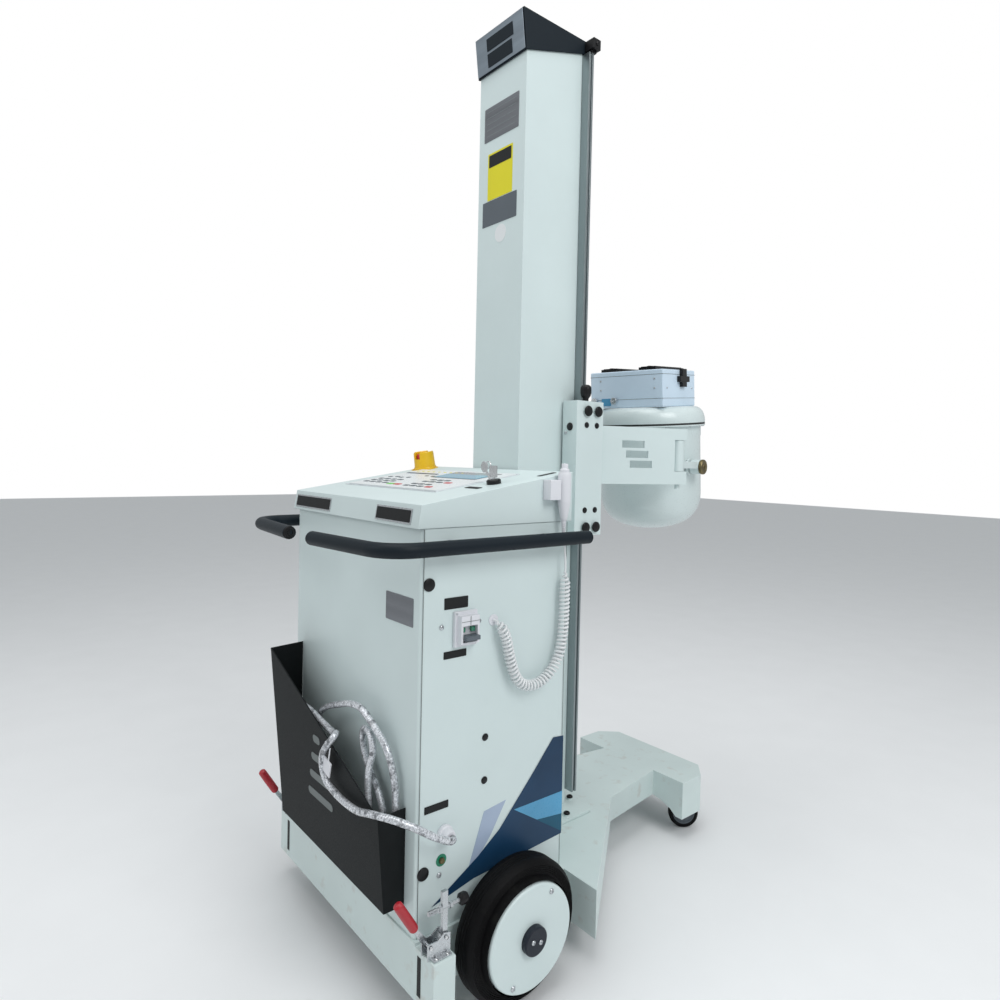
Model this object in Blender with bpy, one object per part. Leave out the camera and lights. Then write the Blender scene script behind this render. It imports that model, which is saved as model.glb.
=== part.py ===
"""Mobile radiographic X-ray trolley: wheeled base, generator cabinet, column, carriage and tube head.

Metres, +Z up, +Y is the direction of travel, +X is the operator's right.
Lengths along Y are given from the cabinet's rear face; the last step centres the whole unit on the origin.
"""
import math

import bmesh
import bpy
from mathutils import Matrix, Vector

GAP = 0.0003
CENTRE_Y = 0.42793

# Base
BASE_TOP = 0.141
BASE_BOTTOM = 0.052
BASE_HALF_WIDTH = 0.243
BASE_WALL = 0.003
BASE_REAR = -0.003
WING_REAR = 0.317
WING_HALF_WIDTH = 0.327
NECK_REAR = (0.112, 0.589)
NECK_FRONT = (0.082, 0.774)
CROSSBAR_HALF_WIDTH = 0.171
CROSSBAR_FRONT = 0.888
BLOCK_OUTER = 0.298
BLOCK_DEPTH = 0.040
BLOCK_TOP = 0.137

# Cabinet and console
CABINET_HALF_WIDTH = 0.238
CABINET_DEPTH = 0.312
CABINET_BOTTOM = BASE_TOP + GAP
CABINET_TOP = 0.7858
CABINET_WALL = 0.002
CONSOLE_HALF_WIDTH = 0.240
CONSOLE_BOTTOM = 0.7864
CONSOLE_LIP_TOP = 0.8237
CONSOLE_SLOPE = 0.1635
CONSOLE_FRONT = 0.318

# Column
FOOT_TOP = 0.148
COLUMN_HALF_WIDTH = 0.0763
COLUMN_REAR = 0.3235
COLUMN_FRONT = 0.477
COLUMN_TOP = 1.762
COLUMN_WALL = 0.003
CAP_HALF_WIDTH = 0.0805
CAP_BOTTOM = 1.710
CAP_TOP = 1.790
RAIL_OUTER = 0.098
RAIL_BOTTOM = 0.180
RAIL_TOP = 1.760
PULLEY_CENTRE = (0.0, 0.452, 1.700)
PULLEY_RADIUS = 0.041
WEIGHT_Z = (0.800, 1.130)
ANCHOR_Z = (0.955, 0.985)

# Carriage and arm
CARRIAGE_HALF_WIDTH = 0.124
CARRIAGE_REAR = 0.440
CARRIAGE_FRONT = 0.519
CARRIAGE_BOTTOM = 0.739
CARRIAGE_TOP = 1.0225
ARM_START = (0.112, 0.5205)
ARM_BOTTOM = 0.848
ARM_TOP = 0.974
KNUCKLE = (0.1685, 0.7218)
BARREL_RADIUS = 0.0145
BARREL_Z = (0.8780, 0.9480)

# Tube head
HEAD_YAW = math.radians(12)
HEAD_TILT = math.radians(5)
HEAD_CENTRE = (0.0, 0.830)
TRUNNION_OFFSET = 0.030
TRUNNION_HEIGHT = 0.8885
TANK_RADIUS = 0.1265

# Running gear
WHEEL_RADIUS = 0.1153
WHEEL_CENTRE_Y = 0.172
WHEEL_INNER = 0.258
TYRE_OUTER = 0.303
DISC_FACE = 0.322
DISC_RADIUS = 0.0857
HUB_RADIUS = 0.0235
AXLE_RADIUS = 0.010
CASTER_RADIUS = 0.036
CASTER_X = 0.1185
CASTER_PIVOT_Y = 0.829
CASTER_TRAIL = 0.012
CASTER_HEADING = math.radians(40.7)

HANDLE_RADIUS = 0.012
HANDLE_X = 0.270
HANDLE_Z = 0.7587

WHITE = ("white_paint", (0.80, 0.86, 0.85, 1), 0.0, 0.35)
SLATE = ("slate_paint", (0.05, 0.07, 0.09, 1), 0.0, 0.4)
GREY = ("dark_grey_paint", (0.06, 0.07, 0.08, 1), 0.0, 0.5)
STEEL = ("plated_steel", (0.60, 0.61, 0.62, 1), 1.0, 0.3)
ALUMINIUM = ("aluminium", (0.55, 0.57, 0.58, 1), 1.0, 0.4)
BRASS = ("brass", (0.45, 0.33, 0.12, 1), 1.0, 0.35)
BLACK = ("black_plastic", (0.01, 0.01, 0.012, 1), 0.0, 0.35)
RUBBER = ("rubber", (0.012, 0.012, 0.013, 1), 0.0, 0.7)
RED = ("red_plastic", (0.45, 0.02, 0.03, 1), 0.0, 0.4)
YELLOW = ("yellow_plastic", (0.85, 0.60, 0.02, 1), 0.0, 0.4)
IVORY = ("ivory_plastic", (0.85, 0.85, 0.87, 1), 0.0, 0.4)
BLUE = ("pale_blue_plastic", (0.42, 0.55, 0.68, 1), 0.0, 0.4)
GLASS = ("tube_glass", (0.75, 0.80, 0.80, 1), 0.0, 0.1)
CORD = ("cable_grey", (0.35, 0.35, 0.37, 1), 0.0, 0.5)


def clear_scene():
    for obj in list(bpy.data.objects):
        bpy.data.objects.remove(obj, do_unlink=True)


def material(name, spec):
    _, colour, metallic, roughness = spec
    made = bpy.data.materials.new(f"{name}_material")
    made.use_nodes = True
    shader = made.node_tree.nodes["Principled BSDF"]
    shader.inputs["Base Color"].default_value = colour
    shader.inputs["Metallic"].default_value = metallic
    shader.inputs["Roughness"].default_value = roughness
    return made


def add_object(name, mesh, spec=None, origin=(0, 0, 0)):
    """An object whose mesh is given in machine coordinates and whose origin is moved to a point."""
    mesh.transform(Matrix.Translation(-Vector(origin)))
    obj = bpy.data.objects.new(name, mesh)
    obj.location = origin
    bpy.context.scene.collection.objects.link(obj)
    if spec:
        mesh.materials.append(material(name, spec))
    else:
        obj.hide_render = True
        obj.display_type = "WIRE"
    return obj


def mesh_of(name, points, faces, smooth=False):
    mesh = bpy.data.meshes.new(name)
    mesh.from_pydata([tuple(p) for p in points], [], faces)
    shape = bmesh.new()
    shape.from_mesh(mesh)
    bmesh.ops.recalc_face_normals(shape, faces=shape.faces)
    shape.to_mesh(mesh)
    shape.free()
    if smooth:
        mesh.polygons.foreach_set("use_smooth", [True] * len(mesh.polygons))
        mesh.set_sharp_from_angle(angle=math.radians(40))
    return mesh


def box_mesh(low, high):
    xs, ys, zs = zip(low, high)
    points = [(x, y, z) for x in xs for y in ys for z in zs]
    faces = [(0, 1, 3, 2), (4, 6, 7, 5), (0, 4, 5, 1), (2, 3, 7, 6), (0, 2, 6, 4), (1, 5, 7, 3)]
    return mesh_of("box", points, faces)


def prism_mesh(outline, low, high, axis="Z"):
    """An outline in the two other axes, in X, Y, Z order, pulled straight along an axis."""
    place = {
        "X": lambda a, b, h: (h, a, b),
        "Y": lambda a, b, h: (a, h, b),
        "Z": lambda a, b, h: (a, b, h),
    }[axis]
    count = len(outline)
    points = [place(a, b, h) for h in (low, high) for a, b in outline]
    sides = [(i, (i + 1) % count, count + (i + 1) % count, count + i) for i in range(count)]
    caps = [tuple(range(count)), tuple(range(count, 2 * count))]
    return mesh_of("prism", points, sides + caps)


def frame_along(direction):
    """Two unit vectors square to a direction and to each other."""
    along = Vector(direction).normalized()
    guide = Vector((0, 0, 1)) if abs(along.z) < 0.9 else Vector((1, 0, 0))
    side = along.cross(guide).normalized()
    return side, along.cross(side)


def lathe_mesh(profile, start, direction, segments, closed=False):
    """A profile of (radius, distance) pairs turned about an axis; it starts and ends on the axis."""
    along = Vector(direction).normalized()
    side, up = frame_along(along)
    points = []
    rings = []
    for radius, distance in profile:
        centre = Vector(start) + along * distance
        if radius == 0:
            rings.append([len(points)] * segments)
            points.append(centre)
            continue
        rings.append([len(points) + i for i in range(segments)])
        for i in range(segments):
            angle = 2 * math.pi * i / segments
            points.append(centre + side * (radius * math.cos(angle)) + up * (radius * math.sin(angle)))
    faces = []
    pairs = list(zip(rings, rings[1:]))
    if closed:
        pairs.append((rings[-1], rings[0]))
    for lower, upper in pairs:
        for i in range(segments):
            j = (i + 1) % segments
            corners = dict.fromkeys((lower[i], lower[j], upper[j], upper[i]))
            faces.append(tuple(corners))
    return mesh_of("lathe", points, faces, smooth=True)


def rod_mesh(start, end, radius, segments=16):
    length = (Vector(end) - Vector(start)).length
    profile = [(0, 0), (radius, 0), (radius, length), (0, length)]
    return lathe_mesh(profile, start, Vector(end) - Vector(start), segments)


def tube_mesh(path, radius, segments):
    """A round bar swept along a path, with flat ends."""
    path = [Vector(p) for p in path]
    side = None
    points = []
    for i, centre in enumerate(path):
        along = (path[min(i + 1, len(path) - 1)] - path[max(i - 1, 0)]).normalized()
        if side is None:
            side = frame_along(along)[0]
        side = (side - along * side.dot(along)).normalized()
        up = along.cross(side)
        for k in range(segments):
            angle = 2 * math.pi * k / segments
            points.append(centre + side * (radius * math.cos(angle)) + up * (radius * math.sin(angle)))
    faces = []
    for i in range(len(path) - 1):
        for k in range(segments):
            a = i * segments + k
            b = i * segments + (k + 1) % segments
            faces.append((a, b, b + segments, a + segments))
    faces.append(tuple(range(segments)))
    faces.append(tuple(range(len(points) - segments, len(points))))
    return mesh_of("tube", points, faces, smooth=True)


def shell_mesh(outline, top, bottoms):
    """A flat plate with a skirt hanging from its outline, open underneath."""
    count = len(outline)
    points = [(x, y, top) for x, y in outline] + [(x, y, b) for (x, y), b in zip(outline, bottoms)]
    faces = [tuple(range(count))]
    faces += [(i, count + i, count + (i + 1) % count, (i + 1) % count) for i in range(count)]
    return mesh_of("shell", points, faces)


def add_boolean(obj, mesh, operation, origin=(0, 0, 0)):
    """Joins or cuts with a helper solid that is itself never part of the unit."""
    helper = add_object(f"{obj.name}_{operation.lower()}_{len(obj.modifiers)}", mesh, None, origin)
    boolean = obj.modifiers.new(operation.lower(), "BOOLEAN")
    boolean.operation = operation
    boolean.solver = "EXACT"
    boolean.object = helper
    return obj


def join(obj, *meshes):
    for mesh in meshes:
        add_boolean(obj, mesh, "UNION")
    return obj


def cut(obj, *meshes):
    for mesh in meshes:
        add_boolean(obj, mesh, "DIFFERENCE")
    return obj


def thicken(obj, thickness, offset=-1):
    wall = obj.modifiers.new("wall", "SOLIDIFY")
    wall.thickness = thickness
    wall.offset = offset
    wall.use_even_offset = True
    return obj


def mirrored(outline):
    """A right-hand outline closed by its own mirror image."""
    return outline + [(-x, y) for x, y in reversed(outline)]


def side_name(side):
    return "right" if side > 0 else "left"


def console_height(y):
    return CONSOLE_LIP_TOP + CONSOLE_SLOPE * (y + 0.003)


# ---------------------------------------------------------------- base


def build_base():
    right = [
        (BASE_HALF_WIDTH, BASE_REAR),
        (BASE_HALF_WIDTH, WING_REAR),
        (WING_HALF_WIDTH, WING_REAR),
        NECK_REAR,
        NECK_FRONT,
        (0.105, NECK_FRONT[1]),
        (0.135, NECK_FRONT[1]),
        (0.152, NECK_FRONT[1]),
        (CROSSBAR_HALF_WIDTH, NECK_FRONT[1]),
        (CROSSBAR_HALF_WIDTH, 0.845),
        (0.133, CROSSBAR_FRONT),
    ]
    bottoms = [BASE_BOTTOM, BASE_BOTTOM, BASE_BOTTOM, 0.086, 0.080, 0.077, 0.066, 0.053, 0.053, 0.053, 0.053]
    mesh = shell_mesh(mirrored(right), BASE_TOP, bottoms + bottoms[::-1])
    base = thicken(add_object("chassis_base", mesh, WHITE), BASE_WALL)
    for side in (1, -1):
        ends = sorted((side * (BASE_HALF_WIDTH - 0.001), side * BLOCK_OUTER))
        low = (ends[0], BASE_REAR, BASE_BOTTOM)
        high = (ends[1], BASE_REAR + BLOCK_DEPTH, BLOCK_TOP)
        join(base, box_mesh(low, high))
    reach = BASE_HALF_WIDTH + 0.01
    centre = (WHEEL_CENTRE_Y, WHEEL_RADIUS)
    cut(base, rod_mesh((-reach, *centre), (reach, *centre), AXLE_RADIUS + GAP, 16))
    return base


def build_axle():
    reach = DISC_FACE - 0.006
    profile = [(0, 0), (AXLE_RADIUS, 0), (AXLE_RADIUS, 2 * reach), (0, 2 * reach)]
    mesh = lathe_mesh(profile, (-reach, WHEEL_CENTRE_Y, WHEEL_RADIUS), (1, 0, 0), 16)
    axle = add_object("wheel_axle", mesh, STEEL)
    for side in (1, -1):
        x = side * 0.205
        low = (x - 0.02, WHEEL_CENTRE_Y - 0.016, WHEEL_RADIUS - 0.016)
        high = (x + 0.02, WHEEL_CENTRE_Y + 0.016, BASE_TOP - BASE_WALL - GAP)
        join(axle, box_mesh(low, high))


def build_foot():
    right = [(0.130, 0.3215), (0.130, 0.503), (0.112, 0.520)]
    foot = add_object("column_foot", prism_mesh(mirrored(right), BASE_TOP + GAP, FOOT_TOP), WHITE)
    for side in (1, -1):
        for x, y in ((0.118, 0.444), (0.070, 0.499)):
            join(foot, rod_mesh((side * x, y, FOOT_TOP - 0.002), (side * x, y, FOOT_TOP + 0.004), 0.0065, 12))


# ---------------------------------------------------------------- cabinet


def rounded_rectangle(half_width, rear, front, radius, steps=3):
    corners = [(1, front, 0), (-1, front, 90), (-1, rear, 180), (1, rear, 270)]
    outline = []
    for side, y, start in corners:
        inward = -1 if y == front else 1
        centre = (side * (half_width - radius), y + inward * radius)
        for i in range(steps + 1):
            angle = math.radians(start + 90 * i / steps)
            outline.append((centre[0] + radius * math.cos(angle), centre[1] + radius * math.sin(angle)))
    return outline


def wall_mesh(outline, low, high):
    count = len(outline)
    points = [(x, y, z) for z in (low, high) for x, y in outline]
    faces = [(i, (i + 1) % count, count + (i + 1) % count, count + i) for i in range(count)]
    return mesh_of("wall", points, faces)


def build_cabinet():
    outline = rounded_rectangle(CABINET_HALF_WIDTH, 0.0, CABINET_DEPTH, 0.008)
    mesh = wall_mesh(outline, CABINET_BOTTOM, CABINET_TOP)
    thicken(add_object("generator_cabinet", mesh, WHITE), CABINET_WALL)


def build_console():
    profile = [
        (-0.009, CONSOLE_BOTTOM),
        (-0.003, CONSOLE_LIP_TOP),
        (CONSOLE_FRONT, console_height(CONSOLE_FRONT)),
        (CONSOLE_FRONT, CONSOLE_BOTTOM),
    ]
    points = [(x, y, z) for x in (-CONSOLE_HALF_WIDTH, CONSOLE_HALF_WIDTH) for y, z in profile]
    faces = [(0, 1, 5, 4), (1, 2, 6, 5), (2, 3, 7, 6), (0, 1, 2, 3), (4, 5, 6, 7)]
    thicken(add_object("console_housing", mesh_of("console", points, faces), WHITE), CABINET_WALL)


def on_console(x, y, lift):
    """A point above the sloping console top, measured square to it."""
    tilt = math.atan(CONSOLE_SLOPE)
    return (x, y - lift * math.sin(tilt), console_height(y) + lift * math.cos(tilt))


def console_normal():
    tilt = math.atan(CONSOLE_SLOPE)
    return Vector((0, -math.sin(tilt), math.cos(tilt)))


def build_keypad():
    corners = [(-0.185, 0.085), (0.143, 0.085), (0.143, 0.264), (-0.185, 0.264)]
    points = [on_console(x, y, GAP) for x, y in corners] + [on_console(x, y, 0.0025) for x, y in corners]
    faces = [(0, 1, 2, 3), (4, 5, 6, 7), (0, 1, 5, 4), (1, 2, 6, 5), (2, 3, 7, 6), (3, 0, 4, 7)]
    add_object("keypad_panel", mesh_of("keypad", points, faces), IVORY)


STOP_CENTRE = (-0.2115, 0.2870)
KEY_CENTRE = (0.1885, 0.1760)


def build_emergency_stop():
    seat = Vector(on_console(*STOP_CENTRE, GAP))
    guard = [(0.0180, 0), (0.0180, 0.037), (0.0205, 0.039), (0.0225, 0.036), (0.0235, 0.006), (0.0255, 0.003),
             (0.0255, 0)]
    shroud = add_object("emergency_stop_guard", lathe_mesh(guard, seat, console_normal(), 24, closed=True), YELLOW)
    notch = box_mesh((-0.04, -0.008, 0.020), (0.04, 0.008, 0.060))
    notch.transform(Matrix.Translation(seat) @ Matrix.Rotation(math.radians(-80), 4, "Z"))
    cut(shroud, notch)
    stem = [(0, 0), (0.010, 0), (0.010, 0.010), (0.0165, 0.013), (0.0165, 0.024), (0.0145, 0.028), (0, 0.029)]
    origin = on_console(*STOP_CENTRE, 0.006)
    add_object("emergency_stop_button", lathe_mesh(stem, origin, console_normal(), 20), RED, origin)


def build_key_switch():
    seat = on_console(*KEY_CENTRE, GAP)
    bezel = [(0.0045, 0), (0.0045, 0.008), (0.011, 0.008), (0.013, 0.006), (0.013, 0)]
    add_object("key_switch_bezel", lathe_mesh(bezel, seat, console_normal(), 20, closed=True), BLACK)
    origin = on_console(*KEY_CENTRE, 0.001)
    key = add_object("start_key", lathe_mesh([(0, 0), (0.004, 0), (0.004, 0.012), (0, 0.012)], origin,
                                             console_normal(), 12), STEEL, origin)
    low = (origin[0] - 0.010, origin[1] - 0.0035, origin[2] + 0.0105)
    high = (origin[0] + 0.010, origin[1] - 0.0005, origin[2] + 0.031)
    join(key, box_mesh(low, high))


BREAKER_Y = (0.060, 0.104)
BREAKER_Z = (0.594, 0.651)


def build_breaker():
    low = (CABINET_HALF_WIDTH + GAP, BREAKER_Y[0], BREAKER_Z[0])
    high = (CABINET_HALF_WIDTH + 0.007, BREAKER_Y[1], BREAKER_Z[1])
    body = add_object("circuit_breaker_body", box_mesh(low, high), IVORY)
    nose = ((high[0] - 0.001, 0.064, 0.600), (high[0] + 0.012, 0.100, 0.645))
    join(body, box_mesh(*nose))
    pivot = (high[0] + 0.0055, 0.082, 0.6105)
    cut(body, box_mesh((high[0] + 0.001, 0.068, 0.6030), (high[0] + 0.02, 0.096, 0.6290)))
    lever_low = (high[0] + 0.0040, 0.0685, pivot[2] - 0.0035)
    lever_high = (high[0] + 0.021, 0.0955, pivot[2] + 0.0035)
    lever = add_object("circuit_breaker_lever", box_mesh(lever_low, lever_high), BLACK, pivot)
    return lever


def build_cable_gland():
    start = (CABINET_HALF_WIDTH + GAP, 0.051, 0.296)
    profile = [(0, 0), (0.014, 0), (0.014, 0.006), (0.0115, 0.008), (0.0115, 0.014), (0.009, 0.020), (0, 0.0205)]
    add_object("cable_gland", lathe_mesh(profile, start, (1, 0, 0), 18), IVORY)


def build_pocket():
    half = 0.205
    rear = -0.0005
    low_front = (-0.037, 0.181)
    left_top = (-0.066, 0.515)
    right_top = (-0.0505, 0.337)
    points = [
        (-half, rear, 0.181), (half, rear, 0.181),
        (-half, *low_front), (half, *low_front),
        (-half, *left_top), (half, *right_top),
        (-half, rear, 0.518), (half, rear, 0.339),
    ]
    faces = [(0, 1, 3, 2), (2, 3, 5, 4), (0, 2, 4, 6), (1, 7, 5, 3)]
    thicken(add_object("cable_pocket", mesh_of("pocket", points, faces), GREY), 0.002)


def build_handle(side):
    corner = 0.055
    path = [(0.048, -0.0945)]
    centre = (HANDLE_X - corner, -0.080 + corner)
    for i in range(7):
        angle = math.radians(-86 + 86 * i / 6)
        path.append((centre[0] + corner * math.cos(angle), centre[1] + corner * math.sin(angle)))
    path.append((HANDLE_X, 0.333))
    points = [(side * x, y, HANDLE_Z) for x, y in path]
    handle = add_object(f"push_handle_{side_name(side)}", tube_mesh(points, HANDLE_RADIUS, 16), SLATE)
    for y in (0.050, 0.250):
        foot = (side * (CABINET_HALF_WIDTH + GAP), y, HANDLE_Z)
        reach = HANDLE_X - CABINET_HALF_WIDTH + 0.0011
        stub = [(0, 0), (0.0080, 0), (0.0080, 0.003), (0.0068, 0.003), (0.0068, reach), (0, reach)]
        join(handle, lathe_mesh(stub, foot, (side, 0, 0), 14))


def build_internals():
    low = (-0.17, 0.045, BASE_TOP + 0.004)
    generator = add_object("high_voltage_generator", box_mesh(low, (0.17, 0.235, 0.43)), STEEL)
    for x in (-0.09, 0.09):
        join(generator, rod_mesh((x, 0.14, 0.42), (x, 0.14, 0.48), 0.022, 12))
    board = add_object("control_board", box_mesh((-0.20, 0.255, 0.30), (0.20, 0.275, 0.74)), GREY)
    return generator, board


# ---------------------------------------------------------------- column


def build_column():
    w, t = COLUMN_HALF_WIDTH, COLUMN_WALL
    slot = 0.026
    right = [
        (w - t, COLUMN_REAR + t),
        (w - t, COLUMN_FRONT - t),
        (slot, COLUMN_FRONT - t),
        (slot, COLUMN_FRONT),
        (w, COLUMN_FRONT),
        (w, COLUMN_REAR),
    ]
    left = [(-x, y) for x, y in reversed(right)]
    mesh = prism_mesh(right + left, FOOT_TOP + GAP, COLUMN_TOP)
    column = add_object("column_body", mesh, WHITE)
    reach = COLUMN_HALF_WIDTH - COLUMN_WALL / 2
    join(column, rod_mesh((-reach, *PULLEY_CENTRE[1:]), (reach, *PULLEY_CENTRE[1:]), 0.0055, 12))


def build_cap():
    w = CAP_HALF_WIDTH
    rear, front = COLUMN_REAR - 0.004, 0.492
    profile = [
        (rear, CAP_BOTTOM),
        (rear - 0.010, CAP_TOP),
        (front - 0.006, CAP_TOP),
        (front, CAP_TOP - 0.010),
        (front, CAP_TOP - 0.024),
    ]
    points = [(x, y, z) for x in (-w, w) for y, z in profile]
    faces = [(0, 1, 6, 5), (1, 2, 7, 6), (2, 3, 8, 7), (3, 4, 9, 8), (0, 4, 3, 2, 1), (5, 6, 7, 8, 9)]
    thicken(add_object("column_cap", mesh_of("cap", points, faces), SLATE), 0.0025)


def build_rail(side):
    inner, outer = 0.054, RAIL_OUTER
    rear, front = COLUMN_FRONT + GAP, COLUMN_FRONT + 0.0135
    outline = [
        (inner, rear), (outer, rear), (outer, rear + 0.004), (outer - 0.004, rear + 0.005),
        (outer - 0.004, rear + 0.008), (outer, rear + 0.009), (outer, front), (inner, front),
    ]
    outline = [(side * x, y) for x, y in outline]
    name = f"guide_rail_{side_name(side)}"
    add_object(name, prism_mesh(outline, RAIL_BOTTOM, RAIL_TOP), ALUMINIUM)


def build_counterbalance():
    """The rope runs from the carriage over the pulley and down to the weight inside the column."""
    rim = PULLEY_RADIUS + 0.005
    groove = [(0.006, -0.008), (rim, -0.008), (PULLEY_RADIUS, -0.003), (PULLEY_RADIUS, 0.003), (rim, 0.008),
              (0.006, 0.008)]
    mesh = lathe_mesh(groove, PULLEY_CENTRE, (1, 0, 0), 24, closed=True)
    add_object("rope_pulley", mesh, ALUMINIUM, PULLEY_CENTRE)
    low, high = WEIGHT_Z
    weight_top = (0, PULLEY_CENTRE[1] - PULLEY_RADIUS - 0.002, high)
    weight = box_mesh((-0.062, 0.336, low), (0.062, 0.434, high))
    add_object("counterweight", weight, GREY, weight_top)
    top = PULLEY_CENTRE[2]
    strands = (("lift_rope_front", PULLEY_CENTRE[1] + PULLEY_RADIUS + 0.0023, ANCHOR_Z[1] + GAP),
               ("lift_rope_rear", weight_top[1] - GAP, high + GAP))
    for name, y, bottom in strands:
        add_object(name, rod_mesh((0, y, bottom), (0, y, top), 0.002, 10), STEEL, (0, y, top))


# ---------------------------------------------------------------- carriage


def build_carriage():
    w, lip = CARRIAGE_HALF_WIDTH, 0.082
    wall, front = 0.006, 0.0055
    right = [
        (lip, CARRIAGE_REAR + wall),
        (w - wall, CARRIAGE_REAR + wall),
        (w - wall, CARRIAGE_FRONT - front),
    ]
    outer = [(w, CARRIAGE_FRONT), (w, CARRIAGE_REAR), (lip, CARRIAGE_REAR)]
    left = [(-x, y) for x, y in reversed(right)]
    outer_left = [(-x, y) for x, y in reversed(outer)]
    outline = right + left + outer_left + outer
    carriage = add_object("carriage", prism_mesh(outline, CARRIAGE_BOTTOM, CARRIAGE_TOP), WHITE)
    for side in (1, -1):
        for z in (CARRIAGE_BOTTOM + 0.018, CARRIAGE_TOP - 0.021):
            for y in (0.4690, 0.4995):
                ends = ((side * (w - 0.020), y, z), (side * (w + 0.004), y, z))
                join(carriage, rod_mesh(*ends, 0.0075, 12))
    join(carriage, box_mesh((-0.012, 0.485, ANCHOR_Z[0]), (0.012, CARRIAGE_FRONT - 0.002, ANCHOR_Z[1])))


def build_lock_knob():
    origin = (0.1125, 0.476, CARRIAGE_TOP + GAP)
    profile = [(0, 0), (0.006, 0), (0.006, 0.005), (0.011, 0.011), (0.0125, 0.020), (0.0125, 0.028),
               (0.010, 0.033), (0, 0.035)]
    add_object("carriage_lock_knob", lathe_mesh(profile, origin, (0, 0, 1), 16), BLACK, origin)


def arm_axes():
    """Unit vectors along the arm and outwards; the outer face runs tangent to the knuckle barrel."""
    reach = Vector(KNUCKLE) - Vector(ARM_START)
    angle = math.acos(-BARREL_RADIUS / reach.length) - math.atan2(reach.y, reach.x)
    return (Vector((math.sin(angle), math.cos(angle), 0)), Vector((math.cos(angle), -math.sin(angle), 0)))


def arm_outline(low_along, high_along, low_out, high_out):
    along, out = arm_axes()
    start = Vector((*ARM_START, 0))
    corners = ((low_along, low_out), (high_along, low_out), (high_along, high_out), (low_along, high_out))
    return [tuple((start + along * a + out * b)[:2]) for a, b in corners]


def build_arm():
    along, _ = arm_axes()
    knuckle = (Vector(KNUCKLE) - Vector(ARM_START)).dot(along.to_2d())
    end = knuckle + BARREL_RADIUS + 0.001
    plate = arm_outline(0.0, end, -0.006, 0.0)
    arm = add_object("head_arm", prism_mesh(plate, ARM_BOTTOM, ARM_TOP), WHITE)
    pad = CARRIAGE_FRONT + GAP
    join(arm, box_mesh((0.030, pad, ARM_BOTTOM + 0.0005), (0.1135, pad + 0.006, ARM_TOP - 0.0005)))
    gap = (BARREL_Z[0] - 0.0005, BARREL_Z[1] + 0.0005)
    ears = arm_outline(knuckle - 0.016, end - 0.0004, -0.0275, -0.0004)
    join(arm, prism_mesh(ears, ARM_BOTTOM + 0.0004, ARM_TOP - 0.0004))
    cut(arm, prism_mesh(arm_outline(knuckle - 0.0165, end + 0.01, -0.05, 0.01), *gap))
    join(arm, rod_mesh((*KNUCKLE, ARM_BOTTOM - 0.010), (*KNUCKLE, ARM_TOP - 0.004), 0.0052, 14))
    for low, high, shift in ((0.884, 0.900, 0.010), (0.906, 0.922, 0.0), (0.928, 0.944, -0.010)):
        middle = 0.095 + shift
        cut(arm, prism_mesh(arm_outline(middle - 0.028, middle + 0.028, -0.02, 0.02), low, high))


# ---------------------------------------------------------------- tube head


def head_axes():
    """Unit vectors along the trunnion and towards the front of the head."""
    return (Vector((math.cos(HEAD_YAW), math.sin(HEAD_YAW), 0)),
            Vector((-math.sin(HEAD_YAW), math.cos(HEAD_YAW), 0)))


def trunnion_point(distance=0.0):
    trunnion, front = head_axes()
    start = Vector((*HEAD_CENTRE, TRUNNION_HEIGHT)) - front * TRUNNION_OFFSET
    return start + trunnion * distance


def build_yoke():
    trunnion, front = head_axes()
    origin = (*KNUCKLE, 0.910)
    low, high = (z - origin[2] for z in BARREL_Z)
    barrel = [(0.0055, low), (BARREL_RADIUS, low), (BARREL_RADIUS, high), (0.0055, high)]
    yoke = add_object("yoke_knuckle", lathe_mesh(barrel, origin, (0, 0, 1), 18, closed=True), WHITE, origin)
    a, b = trunnion_point(0.130), trunnion_point(0.1515)
    knuckle = Vector((*KNUCKLE, 0))
    reach = [knuckle + trunnion * x + front * y for x, y in ((-0.010, 0.010), (0.010, 0.010))]
    far = [b - trunnion * 0.002 - front * 0.006, a + trunnion * 0.002 - front * 0.006]
    web = prism_mesh([tuple(p[:2]) for p in reach + far], TRUNNION_HEIGHT - 0.004, TRUNNION_HEIGHT + 0.012)
    housing = rod_mesh(a, b, 0.0175, 20)
    bore = rod_mesh(trunnion_point(0.12), trunnion_point(0.17), 0.0085, 16)
    join(yoke, web, housing)
    cut(yoke, bore)


def build_tilt_knob():
    trunnion, _ = head_axes()
    origin = trunnion_point(0.1518)
    profile = [(0, -0.008), (0.0075, -0.008), (0.0075, 0), (0.0150, 0), (0.0180, 0.002), (0.0180, 0.007),
               (0.0160, 0.0095), (0, 0.0095)]
    add_object("tilt_lock_knob", lathe_mesh(profile, origin, trunnion, 20), BRASS, origin)


def head_matrix():
    """Head coordinates: X along the trunnion, Z up the beam axis, origin on the trunnion axis."""
    trunnion, front = head_axes()
    basis = Matrix((trunnion, front, Vector((0, 0, 1)))).transposed().to_4x4()
    tilt = Matrix.Rotation(HEAD_TILT, 4, "X")
    return Matrix.Translation(trunnion_point()) @ basis @ tilt


def head_object(name, mesh, spec, origin=(0, 0, 0), extra=()):
    """A part of the tube head, given in head coordinates."""
    mesh.transform(head_matrix())
    made = add_object(name, mesh, spec, head_matrix() @ Vector(origin))
    for other, kind in extra:
        other.transform(head_matrix())
        add_boolean(made, other, kind)
    return made


TANK_BOTTOM = -0.160
FLANGE_LEVEL = 0.102
COLLIMATOR = ((-0.110, -0.072), (0.090, 0.108))


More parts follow.
